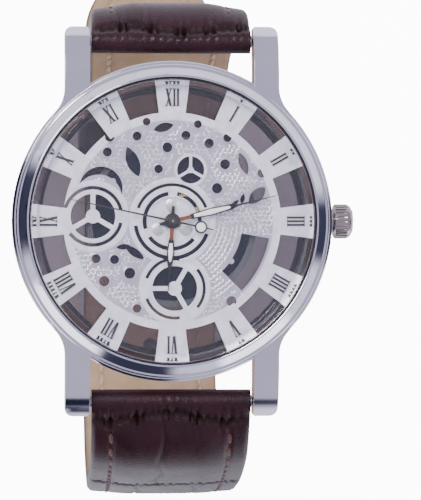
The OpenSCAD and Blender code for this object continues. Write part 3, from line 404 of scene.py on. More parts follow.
# each metal: its pattern, the colours and the roughness at the pattern's two ends, and its bump in mm
metalSet = {
    "polished_steel": ("wear", ((0.83, 0.81, 0.89), (0.77, 0.75, 0.84)), (0.05, 0.13), 0.0008),
    "bar_steel": ("turned", ((0.55, 0.55, 0.57), (0.66, 0.66, 0.68)), (0.22, 0.38), 0.003),
    "crown_steel": ("wear", ((0.5, 0.44, 0.42), (0.4, 0.345, 0.33)), (0.12, 0.26), 0.0012),
    "cell_steel": ("turned", ((0.62, 0.62, 0.64), (0.74, 0.74, 0.76)), (0.2, 0.34), 0.003),
    "soft_iron": ("frost", ((0.28, 0.28, 0.3), (0.36, 0.36, 0.38)), (0.42, 0.6), 0.006),
    "train_brass": ("turned", ((0.72, 0.52, 0.2), (0.84, 0.64, 0.3)), (0.18, 0.34), 0.003),
    "plate_dark": ("turned", ((0.01, 0.013, 0.024), (0.02, 0.024, 0.04)), (0.25, 0.42), 0.004),
}


def metalFinish(name, group, colours, rough, bump):
    material, tree, shader = startMaterial(name, metallic=1.0)
    grain = useGroup(tree, group)
    coat(tree, shader, blendColours(tree, grain.outputs[0], *colours), grain.outputs[0], rough)
    addBump(tree, shader, grain.outputs["Height"], bump)
    return material


# the others: the same without the pattern, which is frost, and with the gloss of a clear coat
plainSet = {
    "gasket_black": (((0.012, 0.012, 0.014), (0.022, 0.022, 0.025)), (0.5, 0.68), 0.006, 0.0),
    "dark_ring": (((0.03, 0.034, 0.045), (0.045, 0.05, 0.062)), (0.42, 0.58), 0.004, 0.1),
    "numeral_black": (((0.006, 0.006, 0.008), (0.014, 0.013, 0.016)), (0.3, 0.44), 0.002, 0.1),
    "lume_white": (((0.86, 0.87, 0.86), (0.93, 0.93, 0.91)), (0.38, 0.52), 0.008, 0.2),
    "board_green": (((0.012, 0.1, 0.045), (0.02, 0.15, 0.07)), (0.28, 0.4), 0.003, 0.6),
    "chip_black": (((0.012, 0.012, 0.013), (0.03, 0.03, 0.032)), (0.45, 0.6), 0.006, 0.0),
}


def plainFinish(name, colours, rough, bump, gloss):
    material, tree, shader = startMaterial(name, Coat_Weight=gloss, Coat_Roughness=0.2)
    grain = useGroup(tree, "frost")
    coat(tree, shader, blendColours(tree, grain.outputs["Cloud"], *colours), grain.outputs["Cloud"], rough)
    addBump(tree, shader, grain.outputs["Height"], bump)
    return material


# the dial's face is painted darker where the ridges stand, as painted shade between them
dialSet = {
    "silvered_dial": {
        "colours": ((0.72, 0.7, 0.78), (0.84, 0.825, 0.88)), "ground": (0.43, 0.405, 0.48),
        "rough": (0.28, 0.42), "metal": 0.5, "bump": 0.02},
    # the ridges' silver is brighter than the dial's face as a painted highlight
    "relief_silver": {
        "colours": ((0.86, 0.85, 0.89), (0.95, 0.945, 0.965)), "ground": None,
        "rough": (0.22, 0.34), "metal": 0.6, "bump": 0.008},
}
# the hands' copper necks, by their reach from the centre in mm
neckSet = {
    "colour": (0.24, 0.085, 0.035), "black": ((0.004, 0.004, 0.005), (0.009, 0.008, 0.01)),
    "rough": (0.24, 0.4), "reach": (0.85, 0.95, 2.3, 2.45), "ways": (-93.6, 13.8),
}
# the painted shade between the ridges, which darkens the dial's face where they stand: its inner and outer
# radius, and the round parts it leaves out, in mm
ridgeShadeSet = {
    "inner": 5.45, "outer": 12.6, "soft": 0.08,
    "leaves": ((-9.9, 0.6, 4.5), (0.3, -8.4, 4.5), (2.3, 6.4, 2.05)),
}


def addRidgeShade(tree, s):
    # painted shade: 1 where the dial's face is darkened between the ridges
    def past(x, y, radius, *ends):
        # 0 inside a circle and 1 outside it, or the other way round
        reach = measure(tree, "DISTANCE", objectPoint(tree, (1, 1, 0)), (x * mm, y * mm, 0))
        return addRange(tree, reach, (radius - s["soft"]) * mm, (radius + s["soft"]) * mm, *ends)

    found = addMath(tree, "MULTIPLY", past(0, 0, s["inner"]), past(0, 0, s["outer"], 1, 0))
    for x, y, radius in s["leaves"]:
        found = addMath(tree, "MULTIPLY", found, past(x, y, radius))
    return found


def handFinish(s):
    material, tree, shader = startMaterial("hand_black", Specular_IOR_Level=0.3)
    frost = useGroup(tree, "frost")
    flat = objectPoint(tree, (1, 1, 0))
    near, full, last, end = (value * mm for value in s["reach"])
    along = [measure(tree, "DOT_PRODUCT", flat, (math.cos(way), math.sin(way), 0))
             for way in map(math.radians, s["ways"])]
    neck = addMath(tree, "MULTIPLY", addRange(tree, addMath(tree, "MAXIMUM", *along), near, full),
                   addRange(tree, measure(tree, "LENGTH", flat), last, end, 1, 0))
    black = blendColours(tree, frost.outputs["Cloud"], *s["black"])
    coat(tree, shader, blendColours(tree, neck, black, s["colour"]), frost.outputs["Cloud"], s["rough"])
    feed(tree, neck, shader.inputs["Metallic"])
    return material


def dialFinish(name, s):
    material, tree, shader = startMaterial(name, metallic=s["metal"], Coat_Weight=0.1, Coat_Roughness=0.25)
    frost = useGroup(tree, "frost", Grain_Scale=4200, Cloud_Scale=1400)
    colour = blendColours(tree, frost.outputs["Cloud"], *s["colours"])
    # painted shade: the face is darker between the ridges
    if s["ground"]:
        colour = blendColours(tree, addRidgeShade(tree, ridgeShadeSet), colour, s["ground"])
    coat(tree, shader, colour, frost.outputs["Cloud"], s["rough"])
    addBump(tree, shader, frost.outputs["Height"], s["bump"])
    return material


sunSet = {
    "colours": ((0.6, 0.6, 0.63), (0.88, 0.88, 0.9)), "rays": 70, "span": (0.3, 0.7),
    "rough": (0.2, 0.34), "bump": 0.004,
}


def sunrayFinish(s):
    # brushed outwards from the centre, so the grain runs by angle
    material, tree, shader = startMaterial("sunray_silver", metallic=0.9)
    parts = addNode(tree, "SeparateXYZ")
    feed(tree, objectPoint(tree), parts.inputs[0])
    angle = addMath(tree, "ARCTAN2", parts.outputs[1], parts.outputs[0])
    joined = addNode(tree, "CombineXYZ")
    feed(tree, angle, joined.inputs[0])
    rays = addNoise(tree, joined.outputs[0], s["rays"], 2)
    shade = addRange(tree, rays, *s["span"])
    coat(tree, shader, blendColours(tree, shade, *s["colours"]), shade, s["rough"])
    addBump(tree, shader, rays, s["bump"])
    return material


glassSet = {
    "mineral_glass": {"colour": (0.965, 0.965, 0.99, 1), "smear": 60, "rough": (0.0, 0.03), "shine": 0.25},
    # the back crystal's dark tint is painted shade on the strap lining seen through the case's windows
    "smoked_glass": {"colour": (0.19, 0.155, 0.17, 1), "smear": 60, "rough": (0.0, 0.04), "shine": 0.25},
}


def glassFinish(name, s):
    material, tree, shader = startMaterial(name, Base_Color=s["colour"], Transmission_Weight=1.0,
                                           IOR=1.5, Specular_IOR_Level=s["shine"])
    wear = useGroup(tree, "wear", Smear_Scale=s["smear"])
    feed(tree, addRange(tree, wear.outputs["Smear"], 0.6, 1, *s["rough"]), shader.inputs["Roughness"])
    passing = addNode(tree, "BsdfTransparent")
    fill(passing, Color=[math.sqrt(part) for part in s["colour"]])
    path = addNode(tree, "LightPath")
    either = addNode(tree, "MixShader")
    feed(tree, path.outputs["Is Shadow Ray"], either.inputs[0])
    feed(tree, shader.outputs[0], either.inputs[1])
    feed(tree, passing.outputs[0], either.inputs[2])
    feed(tree, either.outputs[0], tree.nodes["Material Output"].inputs["Surface"])
    return material


coilSet = {
    "colours": ((0.3, 0.1, 0.035), (0.6, 0.27, 0.11)), "turns": 7000, "waver": 0.4, "rough": (0.42, 0.26),
    "bump": 0.02,
}


def windingFinish(s):
    material, tree, shader = startMaterial("copper_wire", metallic=0.8, Coat_Weight=0.4, Coat_Roughness=0.15)
    bands = addNode(tree, "TexWave", wave_type="BANDS", bands_direction="X")
    fill(bands, Scale=s["turns"], Distortion=s["waver"])
    feed(tree, objectPoint(tree), bands.inputs["Vector"])
    turns = bands.outputs["Fac"]
    coat(tree, shader, blendColours(tree, turns, *s["colours"]), turns, s["rough"])
    addBump(tree, shader, turns, s["bump"])
    return material


hideSet = {
    "strap_leather": {
        # low is the colour deep in furrows, wrinkle troughs and creases: partly the hide's two-tone finish,
        # partly painted shade
        "high": ((0.0165, 0.0023, 0.0056), (0.031, 0.0054, 0.0112)), "low": (0.011, 0.0014, 0.001),
        "edge": (0.009, 0.0024, 0.0024), "rough": (0.3, 0.5), "pores": 2600, "bump": 0.018,
        "coat": 0.18, "shine": 0.24},
    "lining_leather": {
        "high": ((0.44, 0.29, 0.17), (0.56, 0.39, 0.25)), "low": (0.3, 0.18, 0.1),
        "edge": (0.3, 0.18, 0.1), "rough": (0.6, 0.8), "pores": 3600, "bump": 0.016,
        "coat": 0.0, "shine": 0.35},
}


def hideFinish(name, s):
    # the piece's own attributes say how deep in a furrow and how near a cut edge a point is; the furrow
    # attribute darkens the hide, partly its two-tone finish and partly painted shade
    material, tree, shader = startMaterial(name, Coat_Weight=s["coat"], Coat_Roughness=0.24,
                                           Specular_IOR_Level=s["shine"])
    grain = useGroup(tree, "hide", Pore_Scale=s["pores"])
    furrow = addNode(tree, "Attribute", attribute_name="furrow").outputs["Fac"]
    edge = addNode(tree, "Attribute", attribute_name="cutEdge").outputs["Fac"]
    mottled = blendColours(tree, grain.outputs["Mottle"], *s["high"])
    shaded = blendColours(tree, furrow, mottled, s["low"])
    spread = addMath(tree, "ADD", addMath(tree, "MULTIPLY", grain.outputs["Mottle"], 0.6),
                     addMath(tree, "MULTIPLY", furrow, 0.6))
    coat(tree, shader, blendColours(tree, edge, shaded, s["edge"]), spread, s["rough"])
    addBump(tree, shader, grain.outputs["Height"], s["bump"])
    return material


threadSet = {
    "brownThread": ((0.045, 0.008, 0.005), (0.12, 0.024, 0.015)),
    "paleThread": ((0.5, 0.36, 0.22), (0.68, 0.54, 0.38)),
}


def threadFinish(name, colours):
    material, tree, shader = startMaterial(name, Sheen_Weight=0.3)
    twist = addNode(tree, "TexWave", wave_type="BANDS", bands_direction="DIAGONAL")
    fill(twist, Scale=2200, Distortion=1.5)
    feed(tree, objectPoint(tree), twist.inputs["Vector"])
    strands = twist.outputs["Fac"]
    coat(tree, shader, blendColours(tree, strands, *colours), strands, (0.75, 0.55))
    addBump(tree, shader, strands, 0.03)
    return material


floorSet = {
    "size": 6.0, "drop": 0.32 * mm, "glow": 11.0, "lift": 1.8, "darkFrom": (0.12, 0.2),
    "colours": ((0.93, 0.93, 0.945), (0.95, 0.95, 0.96)), "rough": (0.62, 0.72),
}


def makeFloor(s):
    clearSelection()
    bpy.ops.mesh.primitive_plane_add(size=s["size"], location=(0, 0, cadBounds[0][2] - s["drop"]))
    floor = bpy.context.object
    floor.name = "floor"
    material, tree, shader = startMaterial("floor_paint")
    frost = useGroup(tree, "frost", Grain_Scale=900, Cloud_Scale=4)
    seen = addNode(tree, "LightPath").outputs["Is Camera Ray"]
    mirrored = addMath(tree, "SUBTRACT", 1.0, seen)
    way = addNode(tree, "VectorMath", operation="NORMALIZE")
    feed(tree, objectPoint(tree), way.inputs[0])
    far = addRange(tree, measure(tree, "LENGTH", objectPoint(tree)), *s["darkFrom"])

    def towards(sides):
        return addMath(tree, "MULTIPLY", addSides(tree, way.outputs["Vector"], sides), far)

    # seen directly it is a lit white sweep; as steel mirrors it, it has dark sides and bright ways
    shade = addMath(tree, "MULTIPLY", towards(worldSet["sides"]), mirrored)
    paint = blendColours(tree, frost.outputs["Cloud"], *s["colours"])
    coat(tree, shader, blendColours(tree, shade, paint, worldSet["dark"]), frost.outputs["Cloud"], s["rough"])
    bright = addMath(tree, "MULTIPLY", towards(worldSet["bright"]), s["lift"])
    glow = addMath(tree, "ADD", addMath(tree, "MULTIPLY", seen, s["glow"]),
                   addMath(tree, "MULTIPLY", mirrored, bright))
    fill(shader, Emission_Color=(1, 1, 1, 1))
    feed(tree, glow, shader.inputs["Emission Strength"])
    floor.data.materials.append(material)


makeFloor(floorSet)
finish = {"hand_black": handFinish(neckSet), "sunray_silver": sunrayFinish(sunSet),
          "copper_wire": windingFinish(coilSet)}
for make, given in ((metalFinish, metalSet), (plainFinish, plainSet)):
    finish.update({name: make(name, *s) for name, s in given.items()})
for make, given in ((hideFinish, hideSet), (threadFinish, threadSet), (dialFinish, dialSet),
                    (glassFinish, glassSet)):
    finish.update({name: make(name, s) for name, s in given.items()})
print("finishes are mixed")


# ---- hard pieces: a merged copy of each, with its edges broken

slotOf = {part["node"]: part["material_slot"] for part in frame["record"]["subparts"]}
# the width of each node's broken edge in mm, and its steps
breakSet = {
    "case_middle": (0.4, 5), "bezel": (0.12, 3), "case_back": (0.12, 3), "crown": (0.05, 2),
    "buckle_frame": (0.42, 4), "buckle_tongue": (0.22, 3), "dial_plate": (0.04, 2),
    "hour_hand": (0.05, 2), "minute_hand": (0.05, 2), "second_hand": (0.04, 2),
    "hour_lume": (0.07, 2), "minute_lume": (0.07, 2), "second_lume": (0.08, 3),
    "crystal": (0.04, 2), "back_crystal": (0.04, 2), "fixed_keeper": (0.42, 4), "free_keeper": (0.42, 4),
    "train_bridge": (0.05, 2), "main_plate": (0.04, 2), "battery": (0.12, 3),
}
softNodes = ("strap_12_leather", "strap_12_lining", "strap_6_leather", "strap_6_lining")
sliverNodes = ("bezel", "case_middle", "hour_hand", "minute_hand", "hour_lume", "minute_lume", "second_lume")
plainBreak = (0.025, 1)
# where a node's finish differs from its slot's
# the back crystal's dark glass is painted shade
finishOf = {"back_crystal": "smoked_glass", "hour_hand": "hand_black", "minute_hand": "hand_black"}
# angles in degrees: faces merge under one, edges break over the next and smooth up to the last
edgeSet = {"merge": 0.4, "break": 28, "smooth": 32, "weight": 80}


def dressNode(node, width, steps):
    s = edgeSet
    piece = bpy.data.objects.new(node + "_piece", nodes[node].data.copy())
    bpy.context.scene.collection.objects.link(piece)
    editAll(piece, weld, lambda: bpy.ops.mesh.dissolve_limited(angle_limit=math.radians(s["merge"])))
    addModifier(piece, "BEVEL", width=width * mm, segments=steps, limit_method="ANGLE",
                angle_limit=math.radians(s["break"]), use_clamp_overlap=True)
    if node in sliverNodes:
        editAll(piece, dropSlivers)
    smooth(piece, s["smooth"])
    addModifier(piece, "WEIGHTED_NORMAL", keep_sharp=True, weight=s["weight"])
    slot = slotOf[node]
    settle(piece, node + "_piece", bodyOf[node], slot, finish[finishOf.get(node, slot)], node)


hardNodes = [node for node in nodes if node not in softNodes]
for node in hardNodes:
    dressNode(node, *breakSet.get(node, plainBreak))
print("hard pieces:", len(hardNodes))


# ---- the dial's raised relief: curled ridges on its face, and three petals in its centre

reliefSet = {
    # one ridge: half a ring, and the share of its thickness that its ends keep
    "arcRadius": 0.24, "arcThick": 0.1, "flatten": 1.15, "thinEnd": 0.55, "thinReach": 0.8,
    # where ridges lie: their pitch, the ring they fill, and the round parts they leave out
    "seed": 41, "rowPitch": 0.56, "stepPitch": 0.62, "jitter": 0.07, "sizes": (0.9, 1.16),
    "inner": 5.35, "outer": 12.6, "quiet": ((-9.9, 0.6, 4.6), (0.3, -8.4, 4.6), (2.3, 6.4, 2.15)),
    # the whole face that a ridge needs round it, and how level that is
    "margin": 0.34, "probes": 8, "level": 0.02,
    # the flow of the curls, and the sector where they lie in rows like scales
    "swirl": 1.9, "swirlX": (0.55, 0.8), "swirlY": (0.5, -0.4), "sway": 0.35,
    "scalesFrom": -82, "scalesTo": -4, "scalesInner": 5.4, "scalesFirst": 5.7, "scalesOuter": 11.3,
}


def makeRidge(s):
    # half a ring, thinner at its two ends
    clearSelection()
    bpy.ops.mesh.primitive_torus_add(major_segments=16, minor_segments=6, major_radius=s["arcRadius"] * mm,
                                     minor_radius=s["arcThick"] * mm)
    ridge = bpy.context.object
    editAll(ridge, lambda: bpy.ops.mesh.bisect(plane_co=(0, 0, 0), plane_no=(0, 1, 0), use_fill=True,
                                               clear_inner=True, threshold=1e-8))
    for vertex in ridge.data.vertices:
        flat = Vector((vertex.co.x, vertex.co.y, 0))
        thin = mix(s["thinEnd"], 1, flat.y / (s["arcRadius"] * mm * s["thinReach"]))
        ring = flat.normalized() * s["arcRadius"] * mm
        vertex.co = ring + (vertex.co - ring) * thin
        vertex.co.z *= s["flatten"]
    return ridge


def dialTree():
    plate = nodes["dial_plate"]
    corners = [plate.matrix_world @ vertex.co for vertex in plate.data.vertices]
    return BVHTree.FromPolygons(corners, [tuple(face.vertices) for face in plate.data.polygons])


def isPlain(tree, x, y, s):
    # true where the dial's face is whole at a point and all round it
    for i in range(s["probes"] + 1):
        reach = s["margin"] if i < s["probes"] else 0
        turn = i * math.tau / s["probes"]
        above = Vector(((x + reach * math.cos(turn)) * mm, (y + reach * math.sin(turn)) * mm,
                        dialFace + 2 * mm))
        hit = tree.ray_cast(above, Vector((0, 0, -1)))[0]
        if hit is None or abs(hit.z - dialFace) > s["level"] * mm:
            return False
    return True


def inScales(x, y, s):
    radius, angle = math.hypot(x, y), math.degrees(math.atan2(y, x))
    return s["scalesFrom"] < angle < s["scalesTo"] and s["scalesInner"] < radius < s["scalesOuter"]


def curlSpots(s, chance):
    # staggered rows over the whole dial, each spot a little off its place
    spots = []
    row = 0
    y = -s["outer"]
    while y <= s["outer"]:
        x = -s["outer"] + (row % 2) * s["stepPitch"] / 2
        while x <= s["outer"]:
            atX = x + chance.uniform(-1, 1) * s["jitter"]
            atY = y + chance.uniform(-1, 1) * s["jitter"]
            if not inScales(atX, atY, s):
                spots.append((atX, atY, None))
            x += s["stepPitch"]
        y += s["rowPitch"]
        row += 1
    return spots


def scaleSpots(s):
    # rows round the centre, each ridge with its back to it
    spots = []
    radius, row = s["scalesFirst"], 0
    while radius < s["scalesOuter"]:
        step = math.degrees(s["stepPitch"] / radius)
        angle = s["scalesFrom"] + (row % 2) * step / 2
        while angle < s["scalesTo"]:
            turn = math.radians(angle)
            spots.append((radius * math.cos(turn), radius * math.sin(turn), turn - math.pi / 2))
            angle += step
        radius += s["rowPitch"]
        row += 1
    return spots


def reliefPlaces(s):
    chance = random.Random(s["seed"])
    tree = dialTree()
    places = []
    for x, y, turn in curlSpots(s, chance) + scaleSpots(s):
        if not s["inner"] < math.hypot(x, y) < s["outer"]:
            continue
        if any(math.hypot(x - atX, y - atY) < keep for atX, atY, keep in s["quiet"]):
            continue
        if not isPlain(tree, x, y, s):
            continue
        if turn is None:
            waveX = math.sin(x * s["swirlX"][0] + s["swirlX"][1])
            waveY = math.cos(y * s["swirlY"][0] + s["swirlY"][1])
            flow = math.atan2(y, x) + s["swirl"] * waveX + s["swirl"] * waveY
            turn = flow + chance.uniform(-s["sway"], s["sway"])
        size = chance.uniform(*s["sizes"])
        places.append(Matrix.Translation((x * mm, y * mm, dialFace)) @ Matrix.Rotation(turn, 4, "Z")
                      @ Matrix.Diagonal((size, size, 1, 1)))
    return places


reliefPiece = stampCopies(makeRidge(reliefSet), reliefPlaces(reliefSet), "dial_relief")
editAll(reliefPiece, facesOut)
smooth(reliefPiece, 50)
# the ridges take a brighter silver than the dial's face, as a painted highlight
settle(reliefPiece, "dial_relief", bodyOf["dial_plate"], "silvered_dial", finish["relief_silver"])

petalSet = {
    "count": 3, "first": 90, "from": 0.95, "to": 2.8, "half": 0.82, "narrow": 0.72, "widen": 0.5,
    "high": 0.09, "sunk": 0.15, "bevel": 0.035,
}


def makePetal(s):
    clearSelection()
    bpy.ops.mesh.primitive_circle_add(vertices=32, radius=1, fill_type="NGON")
    petal = bpy.context.object
    for vertex in petal.data.vertices:
        along = (vertex.co.x + 1) / 2
        wide = s["half"] * (s["narrow"] + s["widen"] * along) * vertex.co.y
        vertex.co = Vector((mix(s["from"], s["to"], along) * mm, wide * mm, 0))
    editAll(petal, lambda: bpy.ops.mesh.extrude_region_move(
        TRANSFORM_OT_translate={"value": (0, 0, s["high"] * mm)}), facesOut)
    addModifier(petal, "BEVEL", width=s["bevel"] * mm, segments=2, limit_method="ANGLE",
                angle_limit=math.radians(30))
    return petal


def petalPlaces(s):
    base = Matrix.Translation((0, 0, dialFace - s["sunk"] * mm))
    return [base @ Matrix.Rotation(math.radians(s["first"] + 360 / s["count"] * i), 4, "Z")
            for i in range(s["count"])]


petals = stampCopies(makePetal(petalSet), petalPlaces(petalSet), "dial_petals")
editAll(petals, facesOut)
smooth(petals, 30)
settle(petals, "dial_petals", bodyOf["dial_plate"], "silvered_dial", finish["sunray_silver"])
print("dial relief is raised")


# ---- strap: both halves are cut flat, then laid along their bends

routeSet = {
    # each bend is a length in mm and the angle it turns through; the whole is stretched to reach its drop
    "strap_12": {"bends": ((7, 50), (22, 20), (16, 28), (18, 0)), "start": 35, "side": 1, "length": None},
    "strap_6": {"bends": ((8, 53), (18, 18), (20, 26), (18, 68)), "start": 15, "side": -1, "length": 126},
}
strapSet = {
    # widths, thicknesses and lengths along the strap, in mm
    "barWidth": 20, "tailWidth": 18, "taperShare": 0.8, "barThick": 2.85, "padThick": 4.2, "bodyThick": 3.0,
    "tailThick": 2.2, "padRise": 7, "padFall": 18, "thinFrom": 30, "thinEnd": 34, "tip": 9, "tipBlunt": 0.006,
    # the leather round its two bars, its bores, the buckle's slot and the adjuster holes
    "barRound": 1.5, "buckleRound": 1.6, "bore": 0.86, "slotSize": (2.3, 5.2, 9), "slotBack": 0.8,
    "holes": 6, "holePitch": 6.5, "holeFromTip": 20.5, "holeWidth": 1.8, "holeDepth": 9,
    # the section: filling, rolled edges, and the pressed channel that the seam runs in
    "fillAbove": 2.0, "fillDrop": 0.32, "fillFrom": 0.55, "edgeRoll": 0.08, "rollDrop": 0.45,
    "seamInset": 2.5, "seamDepth": 0.14, "seamWidth": 0.3, "seamFrom": 3.2,
    # the lining under it, and the step that the leather makes for it
    "lining": 0.8, "glue": 0.01, "turnIn": 3.4, "stepLength": 0.25, "underWidth": 0.992,
    "liningInset": 0.15, "liningRoll": 0.05, "liningDrop": 0.22, "liningPress": 0.12, "liningSeam": 0.35,
    # the meshes' cells
    "cell": 0.3, "liningCell": 0.6, "liningColumns": 44, "smooth": 50,
}
scaleSet = {
    "strap_12": {"seed": 12, "first": 0.7, "pitch": 11.0, "shrink": 0.93,
                 "creases": ((), (-0.34,), (0.3,), (-0.2, 0.5), (0.1,), (-0.4, 0.35))},
    "strap_6": {"seed": 6, "first": 1.6, "pitch": 18.0, "shrink": 0.86,
                "creases": ((), (-0.08,), (-0.35, 0.4), (0.15,), (-0.5, 0.1), (0.35,), (-0.25,), (0.2, -0.5),
                            (0.0,), (0.4,), (-0.3,))},
    "leastPitch": 6.8, "wave": (0.25, 0.6), "waveStep": 0.42, "lean": 0.06, "uneven": (0.94, 1.06),
    "furrow": 0.3, "furrowWidth": 0.5, "furrowReach": 4,
    "wrinkle": 0.3, "wrinklePitch": 1.0, "wrinkleReach": 1.3, "wrinkleShade": 0.8,
    "crease": 0.2, "creaseWidth": 0.26, "creaseSway": 0.25, "creaseShade": 0.8, "puff": 0.1,
}


def walkBends(bends, start, along):
    # where a strap's middle line is after a length: outwards, down and heading, from the bar
    y, z, heading = 0.0, 0.0, math.radians(start)
    for count, (length, turn) in enumerate(bends):
        last = count == len(bends) - 1
        part = along / length if last else min(1, along / length)
        turned = math.radians(turn) * part
        if turn:
            radius = length * part / turned if turned else 0
            y += radius * (math.sin(heading + turned) - math.sin(heading))
            z += radius * (math.cos(heading + turned) - math.cos(heading))
        else:
            y += length * part * math.cos(heading)
            z -= length * part * math.sin(heading)
        heading += turned
        along -= length
        if along <= 0:
            break
    return y, z, heading


def makeRoute(s, bar, drop):
    full = sum(length for length, turn in s["bends"])
    stretch = drop / -walkBends(s["bends"], s["start"], full)[1]
    bends = [(length * stretch, turn) for length, turn in s["bends"]]
    bent = full * stretch
    if s["length"]:
        bends.append((s["length"] - bent, 0))
    return {"bends": bends, "start": s["start"], "side": s["side"], "bar": bar, "bent": bent,
            "length": s["length"] or bent}


def onRoute(route, along, across, out):
    # a point in metres from its place on the flat strap in mm
    y, z, heading = 0.0, 0.0, math.radians(route["start"])
    if along > 0:
        y, z, heading = walkBends(route["bends"], route["start"], along)
    spare = min(0.0, along)
    y += spare * math.cos(heading) + out * math.sin(heading)
    z += -spare * math.sin(heading) + out * math.cos(heading)
    return Vector((across * mm, route["bar"][0] + route["side"] * y * mm, route["bar"][1] + z * mm))


def routeFrame(route, along, across, out, turn=0.0):
    # the place of a small piece lying on the strap: X across, Y along and Z outwards
    step = 0.05
    here = onRoute(route, along, across, out)
    ahead = onRoute(route, along + step, across, out) - onRoute(route, along - step, across, out)
    ahead.normalize()
    up = (onRoute(route, along, across, out + 1) - here).normalized()
    side = ahead.cross(up).normalized()
    place = Matrix((side, ahead, up)).transposed().to_4x4()
    place.translation = here
    return place @ Matrix.Rotation(turn, 4, "Z")


def padThickness(along):
    s = strapSet
    if along < s["padRise"]:
        return mix(s["barThick"], s["padThick"], ease(along / s["padRise"]))
    return mix(s["padThick"], s["bodyThick"], ease((along - s["padRise"]) / s["padFall"]))


def thickness(route, along):
    s = strapSet
    if route["side"] > 0:
        return padThickness(along)
    share = ease((along - s["thinFrom"]) / (route["bent"] - s["thinEnd"]))
    return mix(padThickness(along), s["tailThick"], share)


def tipShare(route, along):
    # the share of its width that the rounded tip leaves
    s = strapSet
    if route["side"] > 0:
        return 1.0
    u = (along - (route["length"] - s["tip"])) / s["tip"]
    return 1.0 if u <= 0 else math.sqrt(max(s["tipBlunt"], 1 - u * u))


def halfWidth(route, along):
    s = strapSet
    share = along / (route["length"] * s["taperShare"])
    return mix(s["barWidth"], s["tailWidth"], share) / 2 * tipShare(route, along)


def makeScales(name, length):
    # rows of big scales: where each row starts, its wave, and the creases that part its scales
    own, s = scaleSet[name], scaleSet
    chance = random.Random(own["seed"])
    rows, at, pitch = [], own["first"], own["pitch"]
    while at < length + pitch:
        count = len(rows) + 1
        rows.append({"at": at, "wave": chance.uniform(*s["wave"]), "phase": chance.uniform(0, 6),
                     "wrinklePhase": chance.uniform(0, 6),
                     "creases": own["creases"][count % len(own["creases"])],
                     "lean": chance.uniform(-s["lean"], s["lean"])})
        at += pitch * chance.uniform(*s["uneven"])
        pitch = max(s["leastPitch"], pitch * own["shrink"])
    return rows


def embossHeight(rows, along, across, half):
    # height of the hide above its plain face in mm, and how dark the point is painted in furrows, wrinkle
    # troughs and creases: partly the hide's two-tone finish, partly painted shade
    s = scaleSet
    height, furrowShade = 0.0, 0.0
    before = None
    for row in rows:
        gap = along - (row["at"] + row["wave"] * math.sin(across * s["waveStep"] + row["phase"]))
        if abs(gap) < s["furrowReach"]:
            furrow = math.exp(-(gap / s["furrowWidth"]) ** 2)
            height -= s["furrow"] * furrow
            # the furrow is painted darker: partly the hide's two-tone finish, partly painted shade
            furrowShade = max(furrowShade, furrow)
            # fine wrinkles along the row's edge, uneven in spacing and in strength
            phase = row["wrinklePhase"]
            beat = math.sin(across * 0.9 + phase) * 0.8 + across * math.tau / s["wrinklePitch"]
            wave = math.cos(beat) * math.exp(-(gap / s["wrinkleReach"]) ** 2)
            wave *= 0.55 + 0.45 * math.sin(across * 1.7 + phase * 3)
            height += s["wrinkle"] * wave
            # the wrinkles' troughs are painted darker as painted shade
            furrowShade = max(furrowShade, -wave * s["wrinkleShade"])
        if gap >= 0:
            before = (row, gap)
    if before:
        row, gap = before
        span = min((r["at"] for r in rows if r["at"] > row["at"]), default=row["at"] + 10) - row["at"]
        share = min(1.0, gap / span)
        sway = s["creaseSway"] * math.sin(gap * 0.9 + row["phase"])
        for crease in row["creases"]:
            side = across - crease * half - row["lean"] * gap - sway
            line = math.exp(-(side / s["creaseWidth"]) ** 2)
            height -= s["crease"] * line
            # the crease is painted darker as painted shade
            furrowShade = max(furrowShade, line * s["creaseShade"])
        height += s["puff"] * math.sin(math.pi * share) * (1 - (across / half) ** 4)
    return height, min(1.0, furrowShade)


def quarterRound(share):
    # how far a quarter round has dropped, as a share of its radius
    return 1 - math.sqrt(max(0.0, 1 - share * share))


def leatherTop(route, rows, along, across):
    # the plain outer face's height above the middle line, the emboss's lift, and how dark the furrows are
    # painted: partly two-tone finish, partly painted shade
    s = strapSet
    station = min(route["length"], max(0.0, along))
    half = halfWidth(route, station)
    thick = thickness(route, station)
    seam = half - s["seamInset"] * tipShare(route, along)
    filling = max(0.0, thick - s["fillAbove"]) * s["fillDrop"]
    fillEdge = seam * s["fillFrom"]
    height = thick / 2
    height -= filling * ease((abs(across) - fillEdge) / (half - fillEdge))
    roll = max(0.0, abs(across) / half - (1 - s["edgeRoll"])) / s["edgeRoll"]
    height -= s["rollDrop"] * quarterRound(roll)
    # the turned ends carry no emboss
    ends = ease((along + 2.0) / 0.8) * ease((route["length"] + 1.0 - along) / 1.2)
    channel = math.exp(-((abs(across) - seam) / s["seamWidth"]) ** 2) * ease(along - s["seamFrom"])
    height -= s["seamDepth"] * channel
    lift, furrowShade = embossHeight(rows, along, across, half)
    quiet = ends * (1 - channel) * (1 - roll)
    return height, lift * quiet, furrowShade * quiet


def layFlat(name, columns, rowsCount):
    clearSelection()
    bpy.ops.mesh.primitive_grid_add(x_subdivisions=columns, y_subdivisions=rowsCount, size=2)
    sheet = bpy.context.object
    sheet.name = name
    editAll(sheet, lambda: bpy.ops.mesh.extrude_region_move(TRANSFORM_OT_translate={"value": (0, 0, 1)}))
    return sheet


def spread(v, low, high, tip):
    # stations along the strap, closed up towards a rounded tip
    along = low + (high - low) * v
    if tip and along > high - tip:
        return high - tip + tip * math.sin((along - (high - tip)) / tip * math.pi / 2)
    return along


def cutAway(piece, cutters):
    clearSelection()
    for cutter in cutters:
        cutter.select_set(True)
    bpy.context.view_layer.objects.active = cutters[0]
    if len(cutters) > 1:
        bpy.ops.object.join()
    tool = bpy.context.object
    addModifier(piece, "BOOLEAN", object=tool, operation="DIFFERENCE", solver="EXACT")
    bpy.data.objects.remove(tool)


